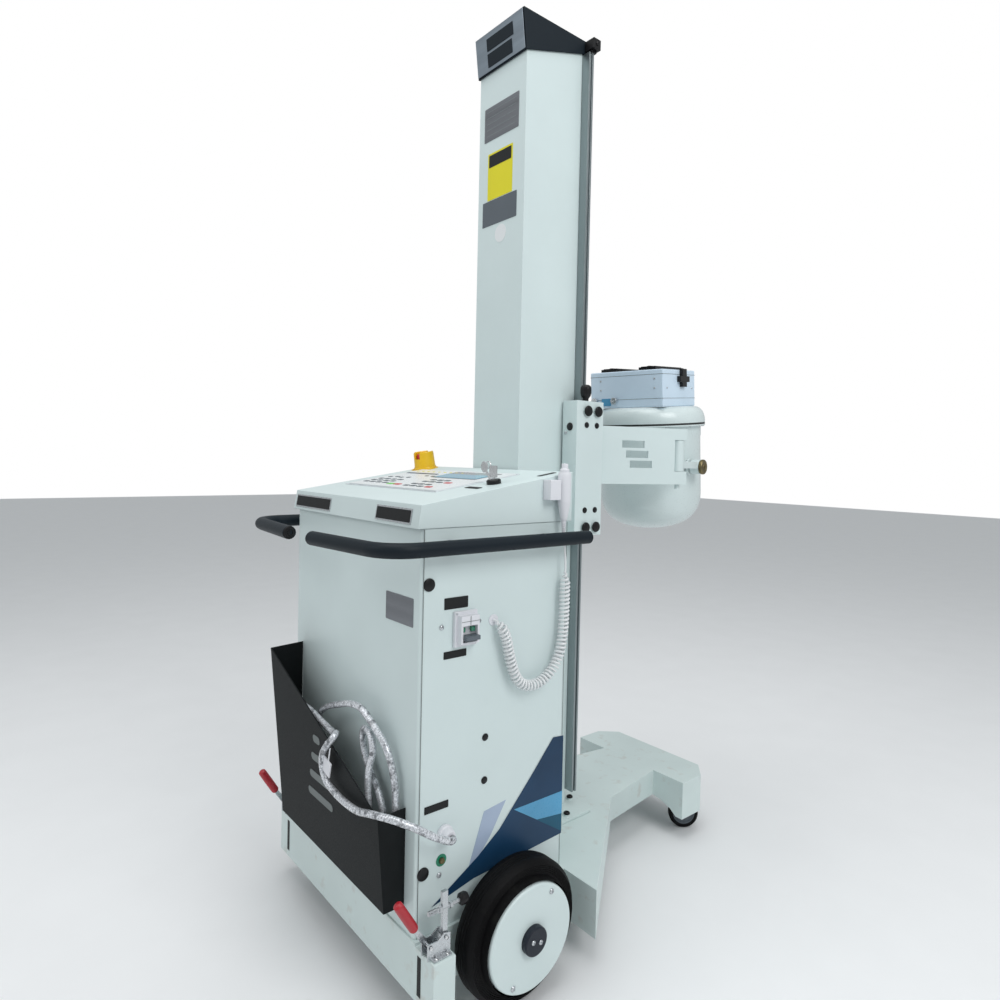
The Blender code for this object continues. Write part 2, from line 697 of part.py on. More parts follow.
def build_tank():
    y = TRUNNION_OFFSET
    r = TANK_RADIUS
    wall = 0.004
    profile = [(0, TANK_BOTTOM), (r * 0.55, TANK_BOTTOM + 0.002), (r * 0.76, TANK_BOTTOM + 0.014),
               (r * 0.92, TANK_BOTTOM + 0.042), (r, TANK_BOTTOM + 0.085), (r, FLANGE_LEVEL),
               (r - wall, FLANGE_LEVEL), (r - wall, TANK_BOTTOM + 0.085), (r * 0.89, TANK_BOTTOM + 0.045),
               (r * 0.73, TANK_BOTTOM + 0.019), (r * 0.53, TANK_BOTTOM + 0.007), (0, TANK_BOTTOM + 0.005)]
    tank = lathe_mesh(profile, (0, y, 0), (0, 0, 1), 32)
    start = math.sqrt(r * r - y * y)
    stub = rod_mesh((start - 0.0015, 0, 0), (0.142, 0, 0), 0.008, 16)
    boss = rod_mesh((start - 0.0015, 0, 0), (0.1285, 0, 0), 0.020, 20)
    head_object("tube_housing_tank", tank, WHITE, extra=((boss, "UNION"), (stub, "UNION")))


def build_head_lid():
    y = TRUNNION_OFFSET
    low = FLANGE_LEVEL + GAP
    gasket = [(0.110, low), (0.138, low), (0.138, low + 0.004), (0.110, low + 0.004)]
    head_object("tank_gasket", lathe_mesh(gasket, (0, y, 0), (0, 0, 1), 32, closed=True), RUBBER)
    low += 0.0043
    lid = [(0, low + 0.040), (0.110, low + 0.040), (0.124, low + 0.038), (0.132, low + 0.031), (0.136, low + 0.018),
           (0.1380, low), (0.1350, low), (0.1330, low + 0.017), (0.129, low + 0.029), (0.122, low + 0.035),
           (0.110, low + 0.037), (0, low + 0.037)]
    cover = lathe_mesh(lid, (0, y, 0), (0, 0, 1), 32)
    head_object("tank_lid", cover, WHITE)
    return low + 0.040


def build_tube_insert():
    y = TRUNNION_OFFSET
    profile = [(0, -0.085), (0.014, -0.082), (0.016, -0.040), (0.034, -0.028), (0.036, 0.030), (0.022, 0.048),
               (0.014, 0.055), (0.014, 0.085), (0, 0.087)]
    head_object("xray_tube_insert", lathe_mesh(profile, (0, y, 0.010), (1, 0, 0), 18), GLASS)


def collimator_box(low, high, inset=0.0):
    (x0, y0), (x1, y1) = COLLIMATOR
    return box_mesh((x0 + inset, y0 + inset, low), (x1 - inset, y1 - inset, high))


def build_collimator(lid_top):
    low = lid_top + GAP
    high = low + 0.0895
    head_object("collimator_body", collimator_box(low, high), BLUE,
                extra=((collimator_box(high - 0.012, high + 0.01, 0.022), "DIFFERENCE"),))
    (x0, y0), (x1, y1) = COLLIMATOR
    frame_low = high + GAP
    plate = box_mesh((-0.084, y0 + 0.020, frame_low + 0.0002), (0.064, y1 - 0.020, frame_low + 0.0020))
    rails = [(box_mesh((low_x, y0 + 0.012, frame_low), (low_x + 0.045, y1 - 0.012, frame_low + 0.007)), "UNION")
             for low_x in (-0.085, 0.020)]
    window = box_mesh((-0.036, y0 + 0.030, frame_low - 0.01), (0.016, y1 - 0.030, frame_low + 0.02))
    head_object("accessory_rail_frame", plate, BLACK, extra=(*rails, (window, "DIFFERENCE")))
    middle = (y0 + y1) / 2 + 0.012
    bar = box_mesh((x1 + GAP, middle - 0.026, high - 0.030), (x1 + 0.010, middle + 0.026, high - 0.016))
    post = box_mesh((x1 + GAP, middle - 0.012, high - 0.042), (x1 + 0.009, middle + 0.012, high + 0.002))
    head_object("collimator_tape_bracket", bar, BLACK, extra=((post, "UNION"),))
    for index, x in enumerate((x0 + 0.016, x0 + 0.072)):
        origin = (x, y0 - GAP, low + 0.018)
        knob = [(0, 0), (0.004, 0), (0.004, 0.003), (0.0085, 0.004), (0.0085, 0.013), (0, 0.014)]
        mesh = lathe_mesh(knob, origin, (0, -1, 0), 14)
        head_object(f"collimator_knob_{index + 1}", mesh, STEEL, origin)


# ---------------------------------------------------------------- running gear


def build_wheel(side):
    axis = (side, 0, 0)
    start = (0, WHEEL_CENTRE_Y, WHEEL_RADIUS)
    name = side_name(side)
    hub = AXLE_RADIUS + GAP
    rim = [
        (hub, WHEEL_INNER + 0.004), (0.026, WHEEL_INNER + 0.004), (0.028, WHEEL_INNER + 0.022),
        (0.078, WHEEL_INNER + 0.022), (0.082, WHEEL_INNER + 0.006), (0.088, WHEEL_INNER + 0.006),
        (0.088, TYRE_OUTER + 0.002), (DISC_RADIUS, DISC_FACE - 0.003), (DISC_RADIUS - 0.003, DISC_FACE),
        (HUB_RADIUS, DISC_FACE), (HUB_RADIUS, DISC_FACE + 0.009), (HUB_RADIUS - 0.002, DISC_FACE + 0.011),
        (0, DISC_FACE + 0.011), (0, DISC_FACE - 0.004), (hub, DISC_FACE - 0.004),
    ]
    mesh = lathe_mesh(rim, start, axis, 32, closed=True)
    add_object(f"wheel_disc_{name}", mesh, WHITE, start)
    tread = [
        (0.0885, WHEEL_INNER + 0.007), (0.104, WHEEL_INNER), (WHEEL_RADIUS - 0.003, WHEEL_INNER + 0.004),
        (WHEEL_RADIUS, WHEEL_INNER + 0.012), (WHEEL_RADIUS, TYRE_OUTER - 0.012),
        (WHEEL_RADIUS - 0.003, TYRE_OUTER - 0.004), (0.104, TYRE_OUTER), (0.0893, DISC_FACE - 0.004),
    ]
    add_object(f"wheel_tyre_{name}", lathe_mesh(tread, start, axis, 40, closed=True), RUBBER, start)


def build_caster(side):
    """A swivel caster; its wheel trails the pivot along the caster's heading."""
    name = side_name(side)
    heading = Matrix.Rotation(-CASTER_HEADING, 4, "Z")
    place = Matrix.Translation((side * CASTER_X, CASTER_PIVOT_Y, 0)) @ heading
    trail, top = CASTER_TRAIL, BASE_TOP - BASE_WALL - GAP
    crown = box_mesh((-0.0165, -0.020, 0.0775), (0.0165, trail + 0.012, 0.0835))
    crown.transform(place)
    fork = add_object(f"caster_fork_{name}", crown, STEEL, place @ Vector((0, 0, 0.09)))
    stem = [(0, 0.080), (0.0095, 0.080), (0.0095, 0.112), (0.022, 0.116), (0.022, top), (0, top)]
    parts = [lathe_mesh(stem, (0, 0, 0), (0, 0, 1), 18)]
    parts.append(rod_mesh((-0.0155, trail, CASTER_RADIUS), (0.0155, trail, CASTER_RADIUS), 0.004, 10))
    leg = [(-0.008, 0.079), (trail + 0.011, 0.079), (trail + 0.008, 0.030), (trail - 0.008, 0.030)]
    for x in (-0.0162, 0.0137):
        parts.append(prism_mesh(leg, x, x + 0.0025, "X"))
    for part in parts:
        part.transform(place)
        join(fork, part)
    half = 0.012
    wheel = [(0.0043, -half), (0.012, -half), (0.014, -half + 0.002), (0.026, -half + 0.002), (0.030, -half),
             (CASTER_RADIUS - 0.002, -half + 0.001), (CASTER_RADIUS, -half + 0.005), (CASTER_RADIUS, half - 0.005),
             (CASTER_RADIUS - 0.002, half - 0.001), (0.030, half), (0.026, half - 0.002), (0.014, half - 0.002),
             (0.012, half), (0.0043, half)]
    mesh = lathe_mesh(wheel, (0, trail, CASTER_RADIUS), (1, 0, 0), 24, closed=True)
    mesh.transform(place)
    centre = place @ Vector((0, trail, CASTER_RADIUS))
    add_object(f"caster_wheel_{name}", mesh, RUBBER, centre)


BRAKE_X = 0.277
BRAKE_ARM_PIVOT = (0.026, 0.163)
BRAKE_LEVER_PIVOT = (-0.001, 0.157)


def build_brake(side):
    name = side_name(side)
    x = side * BRAKE_X
    base = BLOCK_TOP + GAP
    foot = box_mesh((x - 0.017, BASE_REAR + 0.003, base), (x + 0.017, 0.033, base + 0.002))
    bracket = add_object(f"brake_bracket_{name}", foot, STEEL)
    cheek = [(-0.010 + 0.003, base + 0.001), (0.034, base + 0.001), (0.034, 0.168), (0.022, 0.171), (0.010, 0.163),
             (-0.007, 0.164)]
    for inner in (-0.0095, 0.0075):
        join(bracket, prism_mesh(cheek, x + inner, x + inner + 0.002, "X"))
    for y, z in (BRAKE_ARM_PIVOT, BRAKE_LEVER_PIVOT):
        join(bracket, rod_mesh((x - 0.011, y, z), (x + 0.011, y, z), 0.0025, 10))
    arm_y, arm_z = BRAKE_ARM_PIVOT
    lever_y, lever_z = BRAKE_LEVER_PIVOT
    origin = (x, lever_y, lever_z)
    strap = [(0.004, -0.004), (0.004, 0.003), (-0.022, 0.038), (-0.028, 0.034), (-0.004, -0.003)]
    strap = [(lever_y + a, lever_z + b) for a, b in strap]
    lever = add_object(f"brake_lever_{name}", prism_mesh(strap, x - 0.0065, x - 0.0035, "X"), RED, origin)
    grip = rod_mesh((x - 0.005, lever_y - 0.022, lever_z + 0.032), (x - 0.005, lever_y - 0.050, lever_z + 0.078),
                    0.0065, 12)
    hole = rod_mesh((x - 0.02, lever_y, lever_z), (x + 0.02, lever_y, lever_z), 0.0028, 10)
    join(lever, grip)
    cut(lever, hole)
    origin = (x, arm_y, arm_z)
    bar = [(arm_y - 0.004, arm_z - 0.004), (arm_y + 0.004, arm_z - 0.004), (arm_y + 0.004, arm_z + 0.070),
           (arm_y - 0.006, arm_z + 0.070)]
    arm = add_object(f"brake_arm_{name}", prism_mesh(bar, x + 0.0005, x + 0.0065, "X"), STEEL, origin)
    spindle_z = arm_z + 0.044
    spindle = rod_mesh((x + 0.0035, arm_y - 0.030, spindle_z), (x + 0.0035, arm_y + 0.028, spindle_z), 0.0035, 10)
    pad = [(0, 0), (0.0055, 0), (0.0088, 0.003), (0.0088, 0.011), (0.006, 0.015), (0, 0.0155)]
    tip = lathe_mesh(pad, (x + 0.0035, arm_y + 0.027, spindle_z), (0, 1, 0), 14)
    join(arm, spindle, tip)
    cut(arm, rod_mesh((x - 0.02, arm_y, arm_z), (x + 0.02, arm_y, arm_z), 0.0028, 10))


# ---------------------------------------------------------------- hand switch and cords

SWITCH_AXIS = (0.2545, 0.2840)


def build_hand_switch():
    x, y = SWITCH_AXIS
    wall = CONSOLE_HALF_WIDTH + GAP
    clip = [(wall, y - 0.038), (x + 0.006, y - 0.038), (x + 0.006, y - 0.0128), (wall + 0.0016, y - 0.0128),
            (wall + 0.0016, y + 0.0125), (wall, y + 0.0125)]
    add_object("hand_switch_holder", prism_mesh(clip, 0.8268, 0.8620), IVORY)
    body = [(0, 0), (0.0035, 0), (0.0045, 0.018), (0.0065, 0.021), (0.0112, 0.048), (0.0118, 0.098),
            (0.0105, 0.104), (0.0090, 0.104), (0.0090, 0.096), (0, 0.096)]
    start = (x, y, 0.772)
    add_object("hand_switch_body", lathe_mesh(body, start, (0, 0, 1), 16), IVORY)
    button = [(0, 0), (0.0085, 0), (0.0085, 0.0085), (0.0060, 0.0100), (0.0060, 0.0185), (0, 0.0190)]
    origin = (x, y, 0.8725)
    add_object("hand_switch_button", lathe_mesh(button, origin, (0, 0, 1), 14), IVORY, origin)


def smooth_path(points, steps):
    """Catmull-Rom points along a list, as plain tuples."""
    ends = [points[0]] + list(points) + [points[-1]]
    path = []
    for i in range(1, len(ends) - 2):
        p = [Vector(ends[i + k]) for k in (-1, 0, 1, 2)]
        for k in range(steps):
            t = k / steps
            path.append(0.5 * (2 * p[1] + (p[2] - p[0]) * t + (2 * p[0] - 5 * p[1] + 4 * p[2] - p[3]) * t * t
                               + (3 * p[1] - p[0] - 3 * p[2] + p[3]) * t ** 3))
    path.append(Vector(points[-1]))
    return path


def add_cord(name, path, radius, spec, resolution, scales=None):
    curve = bpy.data.curves.new(name, "CURVE")
    curve.dimensions = "3D"
    curve.bevel_depth = radius
    curve.bevel_resolution = resolution
    curve.use_fill_caps = True
    spline = curve.splines.new("POLY")
    spline.points.add(len(path) - 1)
    for index, (point, place) in enumerate(zip(spline.points, path)):
        point.co = (*place, 1)
        point.radius = scales[index] if scales else 1
    obj = bpy.data.objects.new(name, curve)
    bpy.context.scene.collection.objects.link(obj)
    curve.materials.append(material(name, spec))


COIL_POINTS = (
    (0.2395, 0.1420, 0.6270), (0.2430, 0.1420, 0.6270), (0.2520, 0.1470, 0.6190), (0.2535, 0.1580, 0.5970),
    (0.2535, 0.1652, 0.5704), (0.2535, 0.1724, 0.5471), (0.2535, 0.1818, 0.5266), (0.2535, 0.1979, 0.5110),
    (0.2535, 0.2190, 0.5060), (0.2535, 0.2394, 0.5090), (0.2535, 0.2595, 0.5208), (0.2535, 0.2745, 0.5370),
    (0.2535, 0.2851, 0.5620), (0.2535, 0.2905, 0.5984), (0.2535, 0.2919, 0.6400), (0.2535, 0.2919, 0.6750),
    (0.2540, 0.2915, 0.7000),
)
LEAD_POINTS = ((0.2545, 0.2905, 0.7179), (0.2545, 0.2875, 0.7450), (0.2545, 0.2840, 0.7715))


def build_cords():
    path = smooth_path(COIL_POINTS, 3)
    scales = [1.0] * len(path)
    for index in range(9):
        scales[index] = 0.22 + 0.085 * index
    for index in range(4):
        scales[-1 - index] = 0.22 + 0.20 * index
    thin = [Vector(p) for p in LEAD_POINTS]
    add_cord("hand_switch_cord", path + thin, 0.0098, IVORY, 3, scales + [0.22] * len(thin))
    mains = smooth_path(MAINS_POINTS, 1)
    add_cord("mains_cable", mains, 0.0058, CORD, 2)
    plug = [(0, GAP), (0.009, GAP), (0.0125, 0.012), (0.0130, 0.036), (0, 0.036)]
    add_object("mains_plug", lathe_mesh(plug, mains[-1], mains[-1] - mains[-2], 14), BLACK)


MAINS_POINTS = (
    (0.2593, 0.0510, 0.2960), (0.2640, 0.0510, 0.2960), (0.2690, 0.0400, 0.2990), (0.2700, 0.0100, 0.3170),
    (0.2640, -0.0200, 0.3380), (0.2400, -0.0470, 0.3500), (0.2000, -0.0600, 0.3460), (0.1600, -0.0610, 0.3350),
    (0.1120, -0.0595, 0.3298), (0.0769, -0.0605, 0.3332), (0.0500, -0.0630, 0.3430), (0.0390, -0.0655, 0.3640),
    (0.0430, -0.0675, 0.3880), (0.0600, -0.0685, 0.4080), (0.0720, -0.0640, 0.4230), (0.0640, -0.0540, 0.4270),
    (0.0400, -0.0470, 0.4190), (-0.0110, -0.0450, 0.4220), (-0.0540, -0.0450, 0.4280), (-0.0900, -0.0450, 0.4280),
    (-0.1200, -0.0420, 0.4130), (-0.1330, -0.0380, 0.3850), (-0.1180, -0.0340, 0.3580), (-0.0900, -0.0320, 0.3720),
    (-0.0680, -0.0310, 0.4060), (-0.0400, -0.0300, 0.4320), (-0.0120, -0.0300, 0.4470), (0.0250, -0.0290, 0.4600),
    (0.0600, -0.0280, 0.4710), (0.0950, -0.0250, 0.4730), (0.1230, -0.0220, 0.4600), (0.1450, -0.0200, 0.4470),
    (0.1660, -0.0170, 0.4300), (0.1800, -0.0140, 0.4050), (0.1900, -0.0125, 0.3750), (0.1930, -0.0120, 0.3400),
    (0.1900, -0.0120, 0.2900), (0.1760, -0.0120, 0.2420), (0.1450, -0.0120, 0.2080), (0.0900, -0.0130, 0.1980),
    (0.0100, -0.0150, 0.2030), (-0.0600, -0.0180, 0.2300), (-0.0950, -0.0200, 0.2800), (-0.0750, -0.0220, 0.3350),
    (-0.0200, -0.0240, 0.3560), (0.0350, -0.0250, 0.3280), (0.0700, -0.0250, 0.2750), (0.1050, -0.0240, 0.2400),
    (0.1450, -0.0220, 0.2430), (0.1680, -0.0200, 0.2750), (0.1660, -0.0180, 0.3150), (0.1480, -0.0180, 0.3480),
    (0.1200, -0.0180, 0.3720), (0.0980, -0.0180, 0.3980), (0.0900, -0.0180, 0.4250), (0.1020, -0.0200, 0.4400),
    (0.1240, -0.0220, 0.4360), (0.1400, -0.0250, 0.4150), (0.1360, -0.0290, 0.3900), (0.1380, -0.0320, 0.3600),
    (0.1450, -0.0350, 0.3250), (0.1280, -0.0370, 0.2950), (0.0900, -0.0360, 0.2870), (0.0550, -0.0330, 0.2920),
    (0.0300, -0.0285, 0.2920), (0.0120, -0.0255, 0.2920),
)


def build_all():
    clear_scene()
    build_base()
    build_axle()
    build_foot()
    build_cabinet()
    build_console()
    build_keypad()
    build_emergency_stop()
    build_key_switch()
    build_breaker()
    build_cable_gland()
    build_pocket()
    build_internals()
    build_column()
    build_cap()
    build_counterbalance()
    build_carriage()
    build_lock_knob()
    build_arm()
    build_yoke()
    build_tilt_knob()
    build_tank()
    lid_top = build_head_lid()
    build_tube_insert()
    build_collimator(lid_top)
    build_hand_switch()
    build_cords()
    for side in (1, -1):
        build_handle(side)
        build_rail(side)
        build_wheel(side)
        build_caster(side)
        build_brake(side)
    for obj in bpy.context.scene.collection.objects:
        obj.location.y -= CENTRE_Y


build_all()
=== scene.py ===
"""Looks of the wheeled X-ray trolley: finishes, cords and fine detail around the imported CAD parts.

Places are in metres. Lengths along Y are given from the cabinet's rear face, as in the part's
source, and Shape.make() and place() move them into the shared frame.
"""
import math

import bmesh
import bpy
from mathutils import Matrix, Vector


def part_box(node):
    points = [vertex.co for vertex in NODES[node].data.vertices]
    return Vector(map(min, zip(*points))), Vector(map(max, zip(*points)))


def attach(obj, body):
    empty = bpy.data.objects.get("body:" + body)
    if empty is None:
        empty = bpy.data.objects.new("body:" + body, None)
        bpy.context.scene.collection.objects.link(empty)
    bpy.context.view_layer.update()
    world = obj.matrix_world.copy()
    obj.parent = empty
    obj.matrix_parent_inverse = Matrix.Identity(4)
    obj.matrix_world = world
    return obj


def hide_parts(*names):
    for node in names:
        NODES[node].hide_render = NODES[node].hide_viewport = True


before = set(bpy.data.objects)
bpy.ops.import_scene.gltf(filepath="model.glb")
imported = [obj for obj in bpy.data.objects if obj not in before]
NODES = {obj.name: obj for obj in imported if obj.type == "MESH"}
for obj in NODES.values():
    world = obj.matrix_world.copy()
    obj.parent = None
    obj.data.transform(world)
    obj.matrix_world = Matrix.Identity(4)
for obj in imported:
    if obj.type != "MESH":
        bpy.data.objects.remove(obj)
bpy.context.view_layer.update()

# ---------------------------------------------------------------- driving dimensions

CABINET_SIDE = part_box("generator_cabinet")[1].x
CENTRE_Y = -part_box("generator_cabinet")[0].y
COLUMN_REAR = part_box("column_body")[0].y + CENTRE_Y
CARRIAGE_SIDE = 0.124
CAP_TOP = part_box("column_cap")[1].z
CONSOLE_SLOPE = 0.1635
CONSOLE_LIP_TOP = 0.8237
WHEEL_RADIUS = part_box("wheel_tyre_right")[1].z / 2
WHEEL_CENTRE_Y = 0.172
DISC_FACE = 0.322
HEAD_YAW = math.radians(12)
HEAD_TILT = math.radians(5)
SWITCH_AXIS = (0.2545, 0.284)
SWITCH_FOOT = 0.772
HANDLE_X = 0.27
HANDLE_Z = 0.7587
HANDLE_FRONT = 0.3331
CONSOLE_SIDE = 0.2403


def place(x, y, z):
    """A point of the trolley in the shared frame."""
    return Vector((x, y - CENTRE_Y, z))


def console_matrix():
    """X across the sloping console, Y up the slope, Z out of it."""
    tilt = math.atan(CONSOLE_SLOPE)
    up_slope = Vector((0, 1, CONSOLE_SLOPE))
    normal = Vector((0, -math.sin(tilt), math.cos(tilt)))
    basis = Matrix((Vector((1, 0, 0)), up_slope, normal)).transposed().to_4x4()
    return Matrix.Translation((0, 0, CONSOLE_LIP_TOP + 0.003 * CONSOLE_SLOPE)) @ basis


def head_matrix():
    """X along the trunnion, Z up the beam axis, with the origin on the trunnion axis."""
    trunnion = Vector((math.cos(HEAD_YAW), math.sin(HEAD_YAW), 0))
    front = Vector((-math.sin(HEAD_YAW), math.cos(HEAD_YAW), 0))
    start = Vector((0, 0.83, 0.8885)) - front * 0.03
    basis = Matrix((trunnion, front, Vector((0, 0, 1)))).transposed().to_4x4()
    return Matrix.Translation(start) @ basis @ Matrix.Rotation(HEAD_TILT, 4, "X")


def face_matrix(origin, right, up):
    """X and Y in a face, Z out of it."""
    right, up = Vector(right), Vector(up)
    basis = Matrix((right, up, right.cross(up))).transposed().to_4x4()
    return Matrix.Translation(origin) @ basis


CONSOLE = console_matrix()
HEAD = head_matrix()
REAR_FACE = face_matrix((0, 0, 0), (1, 0, 0), (0, 0, 1))
RIGHT_FACE = face_matrix((CABINET_SIDE, 0, 0), (0, 1, 0), (0, 0, 1))
COLUMN_REAR_FACE = face_matrix((0, COLUMN_REAR, 0), (1, 0, 0), (0, 0, 1))
CONSOLE_REAR_FACE = face_matrix((0, -0.0062, 0.8038), (1, 0, 0), (0, 0.158, 0.987))
CAP_REAR_FACE = face_matrix((0, 0.3132, 1.75), (1, 0, 0), (0, -0.124, 0.992))

# ---------------------------------------------------------------- finishes


def noise(nodes, links, coords, scale, detail, stretch=(1, 1, 1)):
    mapping = nodes.new("ShaderNodeMapping")
    mapping.inputs["Scale"].default_value = stretch
    links.new(coords, mapping.inputs["Vector"])
    texture = nodes.new("ShaderNodeTexNoise")
    texture.inputs["Scale"].default_value = scale
    texture.inputs["Detail"].default_value = detail
    links.new(mapping.outputs["Vector"], texture.inputs["Vector"])
    return texture.outputs["Fac"]


def spread(nodes, links, value, low, high, start=0.3, end=0.7):
    """The value's middle range stretched to low..high."""
    ranged = nodes.new("ShaderNodeMapRange")
    for name, number in (("From Min", start), ("From Max", end), ("To Min", low), ("To Max", high)):
        ranged.inputs[name].default_value = number
    links.new(value, ranged.inputs["Value"])
    return ranged.outputs["Result"]


def blend_colours(nodes, links, factor, first, second):
    mixed = nodes.new("ShaderNodeMix")
    mixed.data_type = "RGBA"
    links.new(factor, mixed.inputs["Factor"])
    for socket, colour in ((mixed.inputs["A"], first), (mixed.inputs["B"], second)):
        if isinstance(colour, tuple):
            socket.default_value = (*colour, 1)
        else:
            links.new(colour, socket)
    return mixed.outputs["Result"]


def shade(colour, factor):
    return tuple(min(1.0, c * factor) for c in colour)


def surface(name, colour, roughness=0.5, metallic=0.0, grain=900, bump=0.15, vary=0.05, coat=0.0,
            stretch=(1, 1, 1), wear=None, specular=0.5):
    """A finish whose tone, gloss and relief all vary with position, with optional worn patches."""
    made = bpy.data.materials.new(name)
    made.use_nodes = True
    nodes, links = made.node_tree.nodes, made.node_tree.links
    shader = nodes["Principled BSDF"]
    coords = nodes.new("ShaderNodeTexCoord").outputs["Object"]
    broad = noise(nodes, links, coords, 7, 6, stretch)
    fine = noise(nodes, links, coords, grain, 3, stretch)
    tone = spread(nodes, links, broad, 0, 1)
    result = blend_colours(nodes, links, tone, shade(colour, 1 - vary), shade(colour, 1 + vary))
    if wear:
        patches = spread(nodes, links, noise(nodes, links, coords, 38, 9, stretch), 0, 0.75, 0.6, 0.74)
        result = blend_colours(nodes, links, patches, result, wear)
    links.new(result, shader.inputs["Base Color"])
    gloss = spread(nodes, links, fine, roughness - 0.05, min(1, roughness + 0.09))
    links.new(gloss, shader.inputs["Roughness"])
    relief = nodes.new("ShaderNodeBump")
    relief.inputs["Strength"].default_value = bump
    relief.inputs["Distance"].default_value = 0.0006
    links.new(fine, relief.inputs["Height"])
    links.new(relief.outputs["Normal"], shader.inputs["Normal"])
    shader.inputs["Metallic"].default_value = metallic
    shader.inputs["Coat Weight"].default_value = coat
    shader.inputs["Coat Roughness"].default_value = 0.12
    shader.inputs["Specular IOR Level"].default_value = specular
    return made


PAINT = surface("powder_coat", (0.645, 0.745, 0.745), 0.42, grain=700, bump=0.1, vary=0.025, coat=0.15)
HEAD_PAINT = surface("head_enamel", (0.66, 0.75, 0.75), 0.3, grain=260, bump=0.05, vary=0.035, coat=0.35)
BASE_PAINT = surface("base_paint", (0.635, 0.735, 0.725), 0.45, grain=650, bump=0.12, vary=0.04, coat=0.1,
                     wear=(0.55, 0.58, 0.55))
SLATE = surface("slate_paint", (0.007, 0.013, 0.019), 0.46, grain=800, bump=0.16, vary=0.12, specular=0.2)
POCKET_GREY = surface("pocket_paint", (0.008, 0.01, 0.011), 0.58, grain=600, bump=0.2, vary=0.12,
                      specular=0.16)
BLACK = surface("black_plastic", (0.004, 0.004, 0.005), 0.34, grain=500, bump=0.12, vary=0.2, specular=0.35)
SATIN_BLACK = surface("satin_black", (0.01, 0.011, 0.012), 0.55, grain=900, bump=0.25, vary=0.2,
                      specular=0.3)
NAVY_HUB = surface("hub_plastic", (0.008, 0.012, 0.022), 0.4, grain=600, bump=0.15, vary=0.15,
                   specular=0.35)
TYRE = surface("tyre_rubber", (0.002, 0.002, 0.0025), 0.55, grain=420, bump=0.3, vary=0.3,
               wear=(0.008, 0.008, 0.007), specular=0.14)
GASKET = surface("gasket_rubber", (0.016, 0.016, 0.016), 0.6, grain=600, bump=0.3, vary=0.2)
ZINC = surface("zinc_plate", (0.56, 0.58, 0.6), 0.27, 1.0, grain=500, bump=0.18, vary=0.12)
STEEL = surface("bright_steel", (0.66, 0.67, 0.68), 0.22, 1.0, grain=700, bump=0.12, vary=0.08,
                stretch=(1, 1, 6))
RAIL_METAL = surface("rail_aluminium", (0.3, 0.34, 0.35), 0.36, 1.0, grain=260, bump=0.2, vary=0.12,
                     stretch=(6, 6, 0.15))
PLATE_METAL = surface("plate_metal", (0.23, 0.24, 0.26), 0.4, 1.0, grain=320, bump=0.25, vary=0.15,
                      stretch=(0.2, 1, 7))
CAP_METAL = surface("cap_metal", (0.3, 0.35, 0.4), 0.34, 1.0, grain=300, bump=0.25, vary=0.18,
                    stretch=(0.2, 1, 7))
BRASS = surface("aged_brass", (0.2, 0.16, 0.085), 0.36, 1.0, grain=500, bump=0.2, vary=0.2,
                wear=(0.07, 0.06, 0.04))
RED = surface("red_grip", (0.42, 0.01, 0.022), 0.36, grain=420, bump=0.15, vary=0.12, coat=0.2)
SIGNAL_RED = surface("signal_red", (0.55, 0.035, 0.05), 0.38, grain=700, bump=0.08, vary=0.06)
YELLOW = surface("signal_yellow", (0.86, 0.52, 0.008), 0.36, grain=500, bump=0.1, vary=0.05, coat=0.15)
PLATE_YELLOW = surface("plate_yellow", (0.75, 0.68, 0.01), 0.42, grain=600, bump=0.05, vary=0.05)
IVORY = surface("ivory_plastic", (0.74, 0.75, 0.79), 0.36, grain=700, bump=0.06, vary=0.03)
CLEAR_WHITE = surface("coil_sheath", (0.8, 0.82, 0.83), 0.28, grain=500, bump=0.1, vary=0.05, coat=0.3)
PALE_BLUE = surface("collimator_paint", (0.66, 0.8, 0.93), 0.36, grain=700, bump=0.1, vary=0.03, coat=0.15)
OVERLAY = surface("panel_film", (0.76, 0.79, 0.8), 0.3, grain=1200, bump=0.06, vary=0.02)
KEY_GREY = surface("key_grey", (0.1, 0.12, 0.14), 0.42, grain=900, bump=0.1, vary=0.1)
KEY_GREEN = surface("key_green", (0.16, 0.55, 0.1), 0.42, grain=900, bump=0.1, vary=0.08)
SCREEN_BLUE = surface("screen_blue", (0.16, 0.45, 0.62), 0.18, grain=300, bump=0.02, vary=0.08, coat=0.6)
SCREEN_GREY = surface("screen_grey", (0.3, 0.31, 0.32), 0.25, grain=300, bump=0.02, vary=0.08, coat=0.5)
DEEP_BLUE = surface("film_navy", (0.008, 0.04, 0.095), 0.36, grain=500, bump=0.04, vary=0.22, specular=0.3)
BRIGHT_BLUE = surface("film_blue", (0.06, 0.3, 0.52), 0.3, grain=500, bump=0.04, vary=0.16, coat=0.3)
TEAL_BLUE = surface("film_teal", (0.006, 0.085, 0.15), 0.36, grain=500, bump=0.04, vary=0.2, specular=0.3)
LILAC = surface("film_lilac", (0.34, 0.42, 0.55), 0.32, grain=500, bump=0.04, vary=0.12, coat=0.3)
GREEN = surface("film_green", (0.004, 0.22, 0.115), 0.35, grain=600, bump=0.05, vary=0.1, coat=0.2)
LENS = surface("breaker_window", (0.03, 0.22, 0.13), 0.2, grain=600, bump=0.03, vary=0.1, coat=0.5)
SEAM = surface("seam_shadow", (0.16, 0.18, 0.18), 0.7, grain=700, bump=0.1, vary=0.1)
BOARD = surface("circuit_board", (0.02, 0.1, 0.05), 0.45, grain=160, bump=0.3, vary=0.3)
RESIN = surface("cast_resin", (0.1, 0.1, 0.11), 0.5, grain=400, bump=0.2, vary=0.2)
GLASS = surface("tube_glass", (0.62, 0.68, 0.66), 0.1, grain=90, bump=0.03, vary=0.05, coat=0.6)
IRON = surface("cast_iron", (0.07, 0.075, 0.08), 0.6, grain=350, bump=0.5, vary=0.25)


